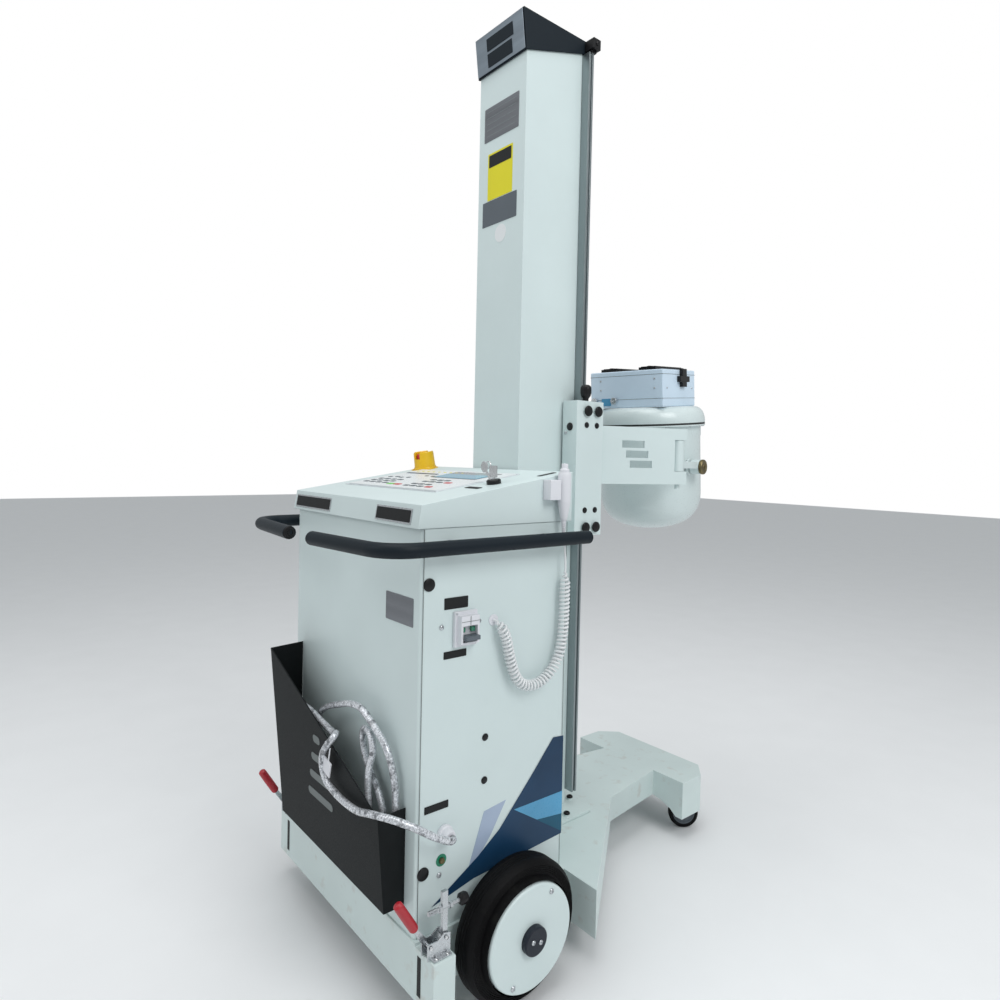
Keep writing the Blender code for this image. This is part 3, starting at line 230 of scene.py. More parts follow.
def braid_surface():
    """A grey woven screen seen through a clear sheath: two crossing sets of bright strands."""
    made = surface("braided_sheath", (0.34, 0.36, 0.39), 0.24, 0.35, grain=420, bump=0.2, vary=0.25,
                   coat=0.7)
    nodes, links = made.node_tree.nodes, made.node_tree.links
    shader = nodes["Principled BSDF"]
    coords = nodes.new("ShaderNodeTexCoord").outputs["Object"]
    cells = nodes.new("ShaderNodeTexVoronoi")
    cells.inputs["Scale"].default_value = 330
    links.new(coords, cells.inputs["Vector"])
    strands = spread(nodes, links, cells.outputs["Distance"], 0, 1, 0.15, 0.75)
    base = shader.inputs["Base Color"].links[0].from_socket
    bright = blend_colours(nodes, links, strands, base, (0.78, 0.8, 0.84))
    dark = spread(nodes, links, noise(nodes, links, coords, 95, 4), 0, 0.8, 0.52, 0.66)
    links.new(blend_colours(nodes, links, dark, bright, (0.055, 0.06, 0.07)), shader.inputs["Base Color"])
    relief = nodes.new("ShaderNodeBump")
    relief.inputs["Strength"].default_value = 0.5
    relief.inputs["Distance"].default_value = 0.0005
    links.new(cells.outputs["Distance"], relief.inputs["Height"])
    links.new(relief.outputs["Normal"], shader.inputs["Normal"])
    return made


BRAID = braid_surface()

# ---------------------------------------------------------------- mesh building


class Shape:
    """Collects solids, given in a local frame, into one mesh piece."""

    def __init__(self, matrix=None):
        self.mesh = bmesh.new()
        self.matrix = matrix or Matrix.Identity(4)

    def add(self, points, faces):
        corners = [self.mesh.verts.new(self.matrix @ Vector(p)) for p in points]
        for face in faces:
            self.mesh.faces.new([corners[i] for i in face])
        return self

    def box(self, low, high):
        (x0, y0, z0), (x1, y1, z1) = low, high
        points = [(x, y, z) for x in (x0, x1) for y in (y0, y1) for z in (z0, z1)]
        return self.add(points,
                        [(0, 1, 3, 2), (4, 6, 7, 5), (0, 4, 5, 1), (2, 3, 7, 6), (0, 2, 6, 4),
                         (1, 5, 7, 3)])

    def prism(self, outline, low, high):
        """A flat shape given in X and Y, raised from low to high."""
        count = len(outline)
        points = [(x, y, low) for x, y in outline] + [(x, y, high) for x, y in outline]
        faces = [tuple(reversed(range(count))), tuple(range(count, 2 * count))]
        faces += [(i, (i + 1) % count, count + (i + 1) % count, count + i) for i in range(count)]
        return self.add(points, faces)

    def lathe(self, profile, start, axis, segments=32, closed=False):
        """Turns (radius, distance) points about an axis; a zero radius closes the end."""
        start, axis = Vector(start), Vector(axis).normalized()
        side = axis.orthogonal().normalized()
        up = axis.cross(side)
        rings = []
        for radius, distance in profile:
            centre = start + axis * distance
            if radius == 0:
                rings.append([self.mesh.verts.new(self.matrix @ centre)])
                continue
            ring = []
            for k in range(segments):
                angle = 2 * math.pi * k / segments
                spoke = side * math.cos(angle) + up * math.sin(angle)
                ring.append(self.mesh.verts.new(self.matrix @ (centre + spoke * radius)))
            rings.append(ring)
        pairs = list(zip(rings, rings[1:])) + ([(rings[-1], rings[0])] if closed else [])
        for a, b in pairs:
            for k in range(segments):
                m = (k + 1) % segments
                corners = [a[k % len(a)], a[m % len(a)], b[m % len(b)], b[k % len(b)]]
                corners = [c for i, c in enumerate(corners) if c not in corners[:i]]
                if len(corners) > 2:
                    self.mesh.faces.new(corners)
        return self

    def rod(self, a, b, radius, segments=16):
        a, b = Vector(a), Vector(b)
        length = (b - a).length
        return self.lathe([(0, 0), (radius, 0), (radius, length), (0, length)], a, b - a, segments)

    def make(self, name, finish, body="base", slot="white_paint", bevel=0.0, replaces=()):
        bmesh.ops.recalc_face_normals(self.mesh, faces=self.mesh.faces)
        data = bpy.data.meshes.new(name)
        self.mesh.to_mesh(data)
        self.mesh.free()
        data.transform(Matrix.Translation((0, -CENTRE_Y, 0)))
        obj = bpy.data.objects.new(name, data)
        bpy.context.scene.collection.objects.link(obj)
        data.materials.append(finish)
        round_edges(obj, bevel)
        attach(obj, body)
        if replaces:
            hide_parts(*replaces)
        return obj


def round_edges(obj, width, angle=35):
    """Softened edges and smooth shading that keeps the flat faces flat."""
    for polygon in obj.data.polygons:
        polygon.use_smooth = True
    if width:
        bevel = obj.modifiers.new("edges", "BEVEL")
        bevel.width = width
        bevel.segments = 2
        bevel.limit_method = "ANGLE"
        bevel.angle_limit = math.radians(angle)
    else:
        obj.data.set_sharp_from_angle(angle=math.radians(angle))
    normals = obj.modifiers.new("normals", "WEIGHTED_NORMAL")
    normals.keep_sharp = True
    return obj


def finish_node(name, finish, width):
    """Gives a CAD node its finish and softens its edges with modifiers, which leave its mesh alone."""
    obj = NODES[name]
    obj.data.materials.clear()
    obj.data.materials.append(finish)
    for attribute in ("custom_normal", "sharp_face", "sharp_edge"):
        if attribute in obj.data.attributes:
            obj.data.attributes.remove(obj.data.attributes[attribute])
    weld = obj.modifiers.new("weld", "WELD")
    weld.merge_threshold = 0.00002
    flats = obj.modifiers.new("flats", "DECIMATE")
    flats.decimate_type = "DISSOLVE"
    flats.angle_limit = math.radians(0.6)
    round_edges(obj, width)


NODE_FINISHES = {
    "chassis_base": (BASE_PAINT, 0.0022),
    "wheel_axle": (STEEL, 0.0006),
    "column_foot": (BASE_PAINT, 0.001),
    "generator_cabinet": (PAINT, 0.0006),
    "console_housing": (PAINT, 0.0018),
    "keypad_panel": (OVERLAY, 0.0004),
    "emergency_stop_guard": (YELLOW, 0.0008),
    "emergency_stop_button": (SIGNAL_RED, 0.0008),
    "key_switch_bezel": (BLACK, 0.0005),
    "start_key": (STEEL, 0.0003),
    "circuit_breaker_body": (IVORY, 0.0006),
    "circuit_breaker_lever": (KEY_GREY, 0.0006),
    "cable_gland": (IVORY, 0.0005),
    "cable_pocket": (POCKET_GREY, 0.0006),
    "high_voltage_generator": (RESIN, 0.002),
    "control_board": (BOARD, 0.0004),
    "column_body": (PAINT, 0.001),
    "column_cap": (SLATE, 0.0014),
    "guide_rail_right": (RAIL_METAL, 0.0004),
    "guide_rail_left": (RAIL_METAL, 0.0004),
    "rope_pulley": (RAIL_METAL, 0.0004),
    "counterweight": (IRON, 0.002),
    "lift_rope_front": (STEEL, 0.0),
    "lift_rope_rear": (STEEL, 0.0),
    "carriage": (PAINT, 0.0012),
    "head_arm": (PAINT, 0.001),
    "yoke_knuckle": (PAINT, 0.001),
    "tank_gasket": (GASKET, 0.0008),
    "xray_tube_insert": (GLASS, 0.001),
    "collimator_body": (PALE_BLUE, 0.003),
    "accessory_rail_frame": (BLACK, 0.0008),
    "collimator_tape_bracket": (BLACK, 0.0008),
    "push_handle_right": (SLATE, 0.001),
    "push_handle_left": (SLATE, 0.001),
    "caster_fork_right": (ZINC, 0.0005),
    "caster_fork_left": (ZINC, 0.0005),
    "brake_bracket_right": (ZINC, 0.0005),
    "brake_bracket_left": (ZINC, 0.0005),
    "brake_arm_right": (ZINC, 0.0005),
    "brake_arm_left": (ZINC, 0.0005),
    "hand_switch_holder": (IVORY, 0.001),
    "hand_switch_button": (IVORY, 0.0006),
    "mains_plug": (BLACK, 0.001),
}


def finish_nodes():
    for name, (finish, width) in NODE_FINISHES.items():
        finish_node(name, finish, width)


# ---------------------------------------------------------------- camera, light and floor


def add_camera():
    azimuth, elevation, roll = (math.radians(a) for a in (49.327, 1.366, 1.3))
    back = Vector((math.sin(azimuth) * math.cos(elevation), -math.cos(azimuth) * math.cos(elevation),
                   math.sin(elevation)))
    right = (-back).cross(Vector((0, 0, 1))).normalized()
    up = right.cross(-back)
    x_axis = right * math.cos(roll) + up * math.sin(roll)
    y_axis = up * math.cos(roll) - right * math.sin(roll)
    data = bpy.data.cameras.new("camera")
    data.lens = 24.953
    data.shift_x = -0.0275
    data.shift_y = -0.0241
    camera = bpy.data.objects.new("camera", data)
    bpy.context.scene.collection.objects.link(camera)
    turn = Matrix((x_axis, y_axis, back)).transposed().to_4x4()
    camera.matrix_world = Matrix.Translation(place(1.1495, -0.5726, 0.8973)) @ turn
    bpy.context.scene.camera = camera


def add_light(name, position, target, size, power):
    data = bpy.data.lights.new(name, "AREA")
    data.energy = power
    data.size = size
    light = bpy.data.objects.new(name, data)
    bpy.context.scene.collection.objects.link(light)
    light.location = position
    light.rotation_euler = (Vector(target) - Vector(position)).to_track_quat("-Z", "Y").to_euler()


def add_studio():
    world = bpy.data.worlds.new("studio")
    bpy.context.scene.world = world
    world.use_nodes = True
    nodes, links = world.node_tree.nodes, world.node_tree.links
    seen = nodes.new("ShaderNodeBackground")
    seen.inputs["Color"].default_value = (1, 1, 1, 1)
    ambient = nodes["Background"]
    ambient.inputs["Color"].default_value = (0.94, 0.98, 1.0, 1)
    ambient.inputs["Strength"].default_value = 0.5
    chosen = nodes.new("ShaderNodeMixShader")
    links.new(nodes.new("ShaderNodeLightPath").outputs["Is Camera Ray"], chosen.inputs["Fac"])
    links.new(ambient.outputs["Background"], chosen.inputs[1])
    links.new(seen.outputs["Background"], chosen.inputs[2])
    links.new(chosen.outputs["Shader"], nodes["World Output"].inputs["Surface"])
    add_light("key_light", (2.6, -0.1, 2.7), (0, 0, 0.9), 1.5, 37)
    add_light("top_light", (0.1, -0.5, 3.7), (0, 0, 0.8), 2.2, 40)
    add_light("rear_fill", (-1.3, -2.8, 1.3), (0, 0, 0.6), 1.8, 3)
    add_light("high_rear_fill", (-0.5, -2.6, 2.6), (0, 0, 1.6), 1.2, 10)
    floor = bpy.data.meshes.new("floor")
    reach = 14
    floor.from_pydata([(-reach, -reach, 0), (reach, -reach, 0), (reach, reach, 0), (-reach, reach, 0)], [],
                      [(0, 1, 2, 3)])
    plane = bpy.data.objects.new("floor", floor)
    floor.materials.append(surface("floor_paper", (0.88, 0.89, 0.9), 0.6, grain=90, bump=0.02, vary=0.01))
    bpy.context.scene.collection.objects.link(plane)
    bpy.context.scene.view_settings.view_transform = "Standard"


# ---------------------------------------------------------------- cords


def smooth_path(points, steps):
    """Catmull-Rom points along a list."""
    ends = [points[0]] + list(points) + [points[-1]]
    path = []
    for i in range(1, len(ends) - 2):
        p = [Vector(ends[i + k]) for k in (-1, 0, 1, 2)]
        for k in range(steps):
            t = k / steps
            path.append(0.5 * (2 * p[1] + (p[2] - p[0]) * t + (2 * p[0] - 5 * p[1] + 4 * p[2] - p[3]) * t * t
                               + (3 * p[1] - p[0] - 3 * p[2] + p[3]) * t ** 3))
    path.append(Vector(points[-1]))
    return path


def path_length(path):
    return sum((b - a).length for a, b in zip(path, path[1:]))


def even_path(path, spacing):
    """The same line with points at even spacing."""
    count = max(2, round(path_length(path) / spacing))
    step = path_length(path) / count
    result, travelled, target = [path[0].copy()], 0.0, step
    for a, b in zip(path, path[1:]):
        length = (b - a).length
        while length and travelled + length >= target - 1e-9 and len(result) < count:
            result.append(a.lerp(b, (target - travelled) / length))
            target += step
        travelled += length
    result.append(path[-1].copy())
    return result


def add_cord(name, path, diameter, finish, replaces, resolution=4):
    """A round cord along points given from the cabinet's rear face."""
    data = bpy.data.curves.new(name, "CURVE")
    data.dimensions = "3D"
    data.bevel_depth = diameter / 2
    data.bevel_resolution = resolution
    data.use_fill_caps = True
    spline = data.splines.new("POLY")
    spline.points.add(len(path) - 1)
    for point, at in zip(spline.points, path):
        point.co = (*place(*at), 1)
    spline.use_smooth = True
    obj = bpy.data.objects.new(name, data)
    bpy.context.scene.collection.objects.link(obj)
    data.materials.append(finish)
    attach(obj, "base")
    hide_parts(replaces)
    return obj


MAINS_DIAMETER = 0.0116
MAINS_POINTS = (
    (0.2593, 0.051, 0.296), (0.264, 0.051, 0.296), (0.269, 0.04, 0.299), (0.27, 0.01, 0.317),
    (0.264, -0.02, 0.338), (0.24, -0.047, 0.35), (0.2, -0.06, 0.346), (0.16, -0.061, 0.335),
    (0.112, -0.0595, 0.3298), (0.0769, -0.0605, 0.3332), (0.05, -0.063, 0.343), (0.039, -0.0655, 0.364),
    (0.043, -0.0675, 0.388), (0.06, -0.0685, 0.408), (0.072, -0.064, 0.423), (0.064, -0.054, 0.427),
    (0.04, -0.047, 0.419), (-0.011, -0.045, 0.422), (-0.054, -0.045, 0.428), (-0.09, -0.045, 0.428),
    (-0.12, -0.042, 0.413), (-0.133, -0.038, 0.385), (-0.118, -0.034, 0.358), (-0.09, -0.032, 0.372),
    (-0.068, -0.031, 0.406), (-0.04, -0.03, 0.432), (-0.012, -0.03, 0.447), (0.025, -0.029, 0.46),
    (0.06, -0.028, 0.471), (0.095, -0.025, 0.473), (0.123, -0.022, 0.46), (0.145, -0.02, 0.447),
    (0.166, -0.017, 0.43), (0.18, -0.014, 0.405), (0.19, -0.0125, 0.375), (0.193, -0.012, 0.34),
    (0.19, -0.012, 0.29), (0.176, -0.012, 0.242), (0.145, -0.012, 0.208), (0.09, -0.013, 0.198),
    (0.01, -0.015, 0.203), (-0.06, -0.018, 0.23), (-0.095, -0.02, 0.28), (-0.075, -0.022, 0.335),
    (-0.02, -0.024, 0.356), (0.035, -0.025, 0.328), (0.07, -0.025, 0.275), (0.105, -0.024, 0.24),
    (0.145, -0.022, 0.243), (0.168, -0.02, 0.275), (0.166, -0.018, 0.315), (0.148, -0.018, 0.348),
    (0.12, -0.018, 0.372), (0.098, -0.018, 0.398), (0.09, -0.018, 0.425), (0.102, -0.02, 0.44),
    (0.124, -0.022, 0.436), (0.14, -0.025, 0.415), (0.136, -0.029, 0.39), (0.138, -0.032, 0.36),
    (0.145, -0.035, 0.325), (0.128, -0.037, 0.295), (0.09, -0.036, 0.287), (0.055, -0.033, 0.292),
    (0.03, -0.0285, 0.292), (0.012, -0.0255, 0.292),
)


def add_mains_cable():
    path = smooth_path(MAINS_POINTS, 4)
    cable = add_cord("mains_cable_braided", path, MAINS_DIAMETER, BRAID, "mains_cable", 6)


COIL_POINTS = (
    (0.2395, 0.142, 0.627), (0.243, 0.142, 0.627), (0.252, 0.147, 0.619), (0.2535, 0.158, 0.597),
    (0.2535, 0.1652, 0.5704), (0.2535, 0.1724, 0.5471), (0.2535, 0.1818, 0.5266), (0.2535, 0.1979, 0.511),
    (0.2535, 0.219, 0.506), (0.2535, 0.2394, 0.509), (0.2535, 0.2595, 0.5208), (0.2535, 0.2745, 0.537),
    (0.2535, 0.2851, 0.562), (0.2535, 0.2905, 0.5984), (0.2535, 0.2919, 0.64), (0.2535, 0.2919, 0.675),
    (0.254, 0.2915, 0.7),
)
LEAD_POINTS = ((0.2545, 0.2905, 0.7179), (0.2545, 0.2875, 0.745), (0.2545, 0.284, 0.7715))
COIL_WIRE = 0.0042
COIL_RADIUS = 0.0078
COIL_PITCH = 0.0072
TURN_POINTS = 14
LEAD_LENGTH = 0.074
LEAD_STRIDE = 8
RELIEF_FOOT = 0.764


def coil_path():
    """A helix round the curly cord's line, opening from the straight lead at each end."""
    spine = even_path(smooth_path(COIL_POINTS + LEAD_POINTS, 6), COIL_PITCH / TURN_POINTS)
    lead_in, lead_out = 30, round(LEAD_LENGTH / (COIL_PITCH / TURN_POINTS))
    last = len(spine) - 1
    side = Vector((0, 1, 0))
    path = []
    for i, centre in enumerate(spine):
        along = (spine[min(i + 1, last)] - spine[max(i - 1, 0)]).normalized()
        side = (side - along * side.dot(along)).normalized()
        opened = min(1, max(0, (i - 12) / lead_in), max(0, (last - lead_out - i) / 40))
        angle = 2 * math.pi * i / TURN_POINTS
        spoke = side * math.cos(angle) + along.cross(side) * math.sin(angle)
        path.append(centre + spoke * (COIL_RADIUS * opened))
    coiled = path[:last - lead_out]
    return coiled + path[last - lead_out:last - LEAD_STRIDE:LEAD_STRIDE] + [path[last]]


def add_curly_cord():
    path = coil_path()
    cord = add_cord("hand_switch_curly_cord", path, COIL_WIRE, CLEAR_WHITE,
                    "hand_switch_cord", 3)


def add_strain_reliefs():
    """Ribbed tapering sleeves where the cords leave the cabinet and enter the switch."""
    relief = Shape()
    rings = [(0.0095, 0), (0.0095, 0.0015), (0.004, 0.0018)]
    relief.lathe(rings + [(0.004, 0.0035), (0, 0.0035)], (CABINET_SIDE, 0.142, 0.627), (1, 0, 0), 28)
    profile = [(0.0, 0.0), (0.0024, 0.0), (0.0028, 0.001)]
    for k in range(7):
        at = 0.002 + 0.0032 * k
        grow = 0.0029 + 0.00028 * k
        profile += [(grow, at), (grow, at + 0.0019), (grow - 0.0006, at + 0.0021),
                    (grow - 0.0006, at + 0.0029)]
    profile += [(0.005, 0.025), (0, 0.025)]
    relief.lathe(profile, (*SWITCH_AXIS, RELIEF_FOOT), (0, 0, 1), 24)
    relief.make("cord_strain_reliefs", IVORY, slot="ivory_plastic", bevel=0.0003)


# ---------------------------------------------------------------- console


def rounded(x0, y0, x1, y1, radius, steps=4):
    """A rectangle with round corners, counterclockwise."""
    corners = ((x1 - radius, y0 + radius, -90), (x1 - radius, y1 - radius, 0),
               (x0 + radius, y1 - radius, 90),
               (x0 + radius, y0 + radius, 180))
    outline = []
    for x, y, start in corners:
        for i in range(steps + 1):
            angle = math.radians(start + 90 * i / steps)
            outline.append((x + radius * math.cos(angle), y + radius * math.sin(angle)))
    return outline


KEY_LEVEL = 0.0025


def add_keys():
    """Rows of film keys on the keypad, told apart only by their colour."""
    dark, red, green, spots = Shape(CONSOLE), Shape(CONSOLE), Shape(CONSOLE), Shape(CONSOLE)

    def key(shape, x, y, width=0.017, depth=0.008):
        outline = rounded(x - width / 2, y - depth / 2, x + width / 2, y + depth / 2, 0.002)
        shape.prism(outline, KEY_LEVEL, KEY_LEVEL + 0.0006)

    for row in range(3):
        for column in range(4):
            key(dark, -0.158 + 0.026 * column, 0.112 + 0.017 * row)
    for row in range(4):
        key(dark, -0.158 + 0.022 * row, 0.168 + 0.004 * (row % 2), 0.012)
    key(green, -0.05, 0.107, 0.022, 0.01)
    key(red, -0.024, 0.107, 0.022, 0.01)
    for row in range(2):
        for column in range(3):
            key(dark, 0.014 + 0.024 * column, 0.104 + 0.018 * row)
            key(dark, 0.014 + 0.024 * column, 0.146 + 0.018 * row)
    key(red, 0.09, 0.104, 0.02, 0.009)
    key(red, 0.09, 0.146, 0.02, 0.009)
    for column in range(4):
        key(dark, -0.06 + 0.022 * column, 0.196, 0.012, 0.006)
    for column in range(9):
        key(spots, -0.165 + 0.021 * column, 0.24, 0.007, 0.004)
    dark.make("keypad_keys", KEY_GREY, slot="black_plastic")
    red.make("keypad_red_keys", SIGNAL_RED, slot="red_plastic")
    green.make("keypad_green_key", KEY_GREEN, slot="overlay_plastic")
    spots.make("keypad_lamps", PLATE_YELLOW, slot="yellow_plastic")


def add_console_details():
    level = KEY_LEVEL
    Shape(CONSOLE).prism(rounded(-0.03, 0.186, 0.118, 0.252, 0.002), level, level + 0.0005).make(
        "display_bezel", SCREEN_GREY, slot="overlay_plastic")
    Shape(CONSOLE).prism(rounded(-0.026, 0.19, 0.114, 0.226, 0.001), level + 0.0006, level + 0.0011).make(
        "display_glass", SCREEN_BLUE, slot="glass")
    Shape(CONSOLE).prism(rounded(-0.172, 0.214, -0.052, 0.221, 0.001), level, level + 0.0005).make(
        "keypad_stripe", DEEP_BLUE, slot="overlay_plastic")
    rim = Shape(CONSOLE)
    for low, high in (((-0.19, 0.08), (0.148, 0.0815)), ((-0.19, 0.2675), (0.148, 0.269)),
                      ((-0.19, 0.08), (-0.1885, 0.269)), ((0.1465, 0.08), (0.148, 0.269))):
        rim.box((*low, 0.0002), (*high, 0.0012))
    rim.make("keypad_rim", IVORY, slot="ivory_plastic", bevel=0.0003)
    marks = Shape(CONSOLE)
    marks.prism(rounded(0.166, 0.128, 0.204, 0.14, 0.002), 0.0002, 0.0008)
    marks.prism(rounded(0.204, 0.262, 0.214, 0.302, 0.001), 0.0002, 0.0008)
    marks.make("console_dark_labels", SATIN_BLACK, slot="black_plastic")


def add_blank_plates():
    """Dark plates with a light edge on the console's rear lip; they carry no lettering."""
    edges, plates = Shape(CONSOLE_REAR_FACE), Shape(CONSOLE_REAR_FACE)
    for x0, x1 in ((-0.229, -0.072), (0.103, 0.217)):
        edges.prism(rounded(x0, -0.0125, x1, 0.0125, 0.0012), 0.0001, 0.0012)
        plates.prism(rounded(x0 + 0.003, -0.0098, x1 - 0.003, 0.0098, 0.001), 0.0012, 0.0017)
    edges.make("lip_plate_edges", ZINC, slot="aluminium", bevel=0.0002)
    plates.make("lip_plates", SATIN_BLACK, slot="black_plastic", bevel=0.0002)


def add_key_ring():
    """A second key hanging by a split ring from the one in the switch."""
    body = "start_key"
    seat = NODES["start_key"].data.vertices
    top = max((v.co for v in seat), key=lambda co: co.z)
    centre = Vector((top.x - 0.006, top.y + CENTRE_Y, top.z + 0.001))
    bow = Shape(Matrix.Translation(centre) @ Matrix.Rotation(math.radians(90), 4, "X"))
    ring = [(0.0062 + 0.0007 * math.cos(a), 0.0007 * math.sin(a))
            for a in (2 * math.pi * k / 10 for k in range(10))]
    bow.lathe(ring, (0, 0, 0), (0, 0, 1), 40, closed=True)
    bow.lathe([(r, d + 0.0012) for r, d in ring], (0, 0, 0), (0.06, 0, 1), 40, closed=True)
    bow.make("key_ring", STEEL, body, "steel")
    blade = Shape(Matrix.Translation(centre + Vector((-0.006, -0.004, -0.004)))
                  @ Matrix.Rotation(math.radians(-38), 4, "Y") @ Matrix.Rotation(math.radians(90), 4, "X"))
    outline = [(-0.0018, -0.034), (0.0012, -0.036), (0.0024, -0.03), (0.0016, -0.027), (0.0026, -0.023),
               (0.0018, -0.02), (0.0026, -0.016), (0.0024, -0.01), (0.0085, -0.006), (0.0095, 0.002),
               (0.006, 0.009), (0.0, 0.011), (-0.006, 0.009), (-0.0095, 0.002), (-0.0085, -0.006),
               (-0.0024, -0.01)]
    blade.prism(outline, -0.0008, 0.0008)
    blade.make("spare_key", STEEL, body, "steel", bevel=0.0003)


def add_stop_guard_details():
    skirt = Shape(CONSOLE)
    skirt.lathe([(0.0266, 0.0003), (0.03, 0.0003), (0.03, 0.0013), (0.0266, 0.0017)],
                (-0.2115 + 0.0045, 0.283, 0), (0, 0, 1), 48, closed=True)
    skirt.make("stop_base_ring", YELLOW, slot="yellow_plastic", bevel=0.0003)


# ---------------------------------------------------------------- cabinet


def screw_head(shape, at, axis, radius, segments=24):
    """A domed socket screw."""
    dome = [(radius, 0), (radius, radius * 0.25), (radius * 0.86, radius * 0.48),
            (radius * 0.6, radius * 0.6),
            (radius * 0.45, radius * 0.62), (radius * 0.4, radius * 0.28), (0, radius * 0.28)]
    shape.lathe([(0, 0)] + dome, at, axis, segments)


def plug_cap(shape, at, axis, radius, segments=32):
    """A snap-in plastic hole plug."""
    dome = [(0, 0), (radius, 0), (radius, radius * 0.12), (radius * 0.9, radius * 0.26),
            (radius * 0.6, radius * 0.36), (0, radius * 0.4)]
    shape.lathe(dome, at, axis, segments)


def add_cabinet_details():
    plugs = Shape()
    x = CABINET_SIDE + 0.0001
    for y, z, radius in ((0.014, 0.6985, 0.0105), (0.13, 0.4312, 0.0062), (0.13, 0.3585, 0.0062),
                         (0.0125, 0.2426, 0.0105)):
        plug_cap(plugs, (x, y, z), (1, 0, 0), radius)
        plug_cap(plugs, (-x, y, z), (-1, 0, 0), radius)
    plugs.make("cabinet_hole_plugs", BLACK, slot="black_plastic")
    seam = Shape(RIGHT_FACE)
    for y in (0.0035, 0.308):
        seam.box((y, 0.1424, 0.00002), (y + 0.0011, 0.785, 0.0003))
    seam.make("cabinet_panel_seams", SEAM, slot="white_paint")
    mirror = Shape(face_matrix((-CABINET_SIDE, 0, 0), (0, -1, 0), (0, 0, 1)))
    for y in (-0.0046, -0.3091):
        mirror.box((y, 0.1424, 0.00002), (y + 0.0011, 0.785, 0.0003))
    mirror.make("cabinet_panel_seams_left", SEAM, slot="white_paint")
    screws = Shape()
    for y, z in ((0.0385, 0.6286), (0.112, 0.6294), (0.043, 0.23)):
        screw_head(screws, (x, y, z), (1, 0, 0), 0.0042)
    screws.make("cabinet_screws", ZINC, slot="steel")
    blanks = Shape(RIGHT_FACE)
    for low, high in (((0.043, 0.6555), (0.089, 0.674)), ((0.0435, 0.576), (0.0875, 0.588)),
                      ((0.013, 0.336), (0.058, 0.348))):
        blanks.prism(rounded(*low, *high, 0.001), 0.0001, 0.0007)
    blanks.make("cabinet_dark_labels", SATIN_BLACK, slot="black_plastic")
    Shape(RIGHT_FACE).lathe([(0, 0.0001), (0.0098, 0.0001), (0.0098, 0.0006), (0, 0.0007)],
                            (0.0465, 0.2529, 0), (0, 0, 1), 40).make("earth_disc", GREEN,
                                                                     slot="overlay_plastic")
    Shape(RIGHT_FACE).lathe([(0, 0.0001), (0.0052, 0.0001), (0.0052, 0.003), (0.0042, 0.0048), (0, 0.005)],
                            (0.0465, 0.2529, 0.0006), (0, 0, 1), 6).make("earth_stud", BRASS, slot="brass")
    Shape(REAR_FACE).prism(rounded(0.1306, 0.629, 0.2165, 0.6748, 0.002), 0.0001, 0.0007).make(
        "rear_blank_plate", PLATE_METAL, slot="aluminium")


def add_side_graphic():
    """A plain three-tone angular film on the cabinet's lower right corner."""
    level = 0.0001
    edge = 0.3112
    Shape(RIGHT_FACE).prism([(0.093, 0.198), (0.146, 0.26), (0.178, 0.3105), (0.131, 0.305)], level,
                            level + 0.0004
                            ).make("side_film_lilac", LILAC, slot="overlay_plastic")
    navy = [(0.03, 0.183), (0.112, 0.199), (0.2, 0.203), (edge, 0.208), (edge, 0.39), (0.286, 0.3925),
            (0.24, 0.342), (0.165, 0.264), (0.12, 0.233)]
    Shape(RIGHT_FACE).prism(navy, level + 0.0005, level + 0.0009).make(
        "side_film_navy", DEEP_BLUE, slot="overlay_plastic")
    Shape(RIGHT_FACE).prism([(0.196, 0.288), (edge, 0.287), (edge, 0.245), (0.25, 0.253)], level + 0.001,
                            level + 0.0013).make("side_film_blue", BRIGHT_BLUE, slot="overlay_plastic")
    Shape(RIGHT_FACE).prism([(0.196, 0.288), (0.25, 0.253), (edge, 0.245), (edge, 0.212)], level + 0.001,
                            level + 0.0012).make("side_film_teal", TEAL_BLUE, slot="overlay_plastic")


def add_breaker_details():
    face = CABINET_SIDE + 0.0071
    lines, windows, screws = Shape(), Shape(), Shape()
    lines.box((face + 0.012, 0.0815, 0.6295), (face + 0.0124, 0.0825, 0.6448))
    lines.box((face + 0.012, 0.0645, 0.636), (face + 0.0124, 0.0995, 0.6366))
    lines.make("breaker_module_lines", SEAM, slot="ivory_plastic")
    for y in (0.0725, 0.0915):
        windows.prism([(face + 0.0004, y - 0.0035), (face + 0.006, y - 0.0035), (face + 0.006, y + 0.0035),
                       (face + 0.0004, y + 0.0035)], 0.618, 0.6255)
    windows.make("breaker_windows", LENS, slot="glass", bevel=0.0004)
    for y, z in ((0.0632, 0.648), (0.1008, 0.5972)):
        screw_head(screws, (face, y, z), (1, 0, 0), 0.002)
    screws.make("breaker_screws", ZINC, slot="steel")


def add_pocket_details():
    """Rounded ventilation slots and two screws on the cable pocket."""
    front = face_matrix((0, -0.0372, 0.181), (1, 0, 0), (0, -0.0865, 0.99625))
    slots = Shape(front)
    for k, half in enumerate((0.014, 0.026, 0.038, 0.05)):
        z = 0.205 - 0.036 * k
        slots.prism(rounded(-0.01 - half, z, -0.01 + half, z + 0.014, 0.0068), -0.0002, 0.0004)
    slots.make("pocket_slots", SEAM, slot="grey_paint")
    screws = Shape()
    for x in (-0.17, 0.17):
        screw_head(screws, (x, -0.0029, 0.3), (0, -1, 0), 0.0045)
    screws.make("pocket_screws", ZINC, slot="steel")


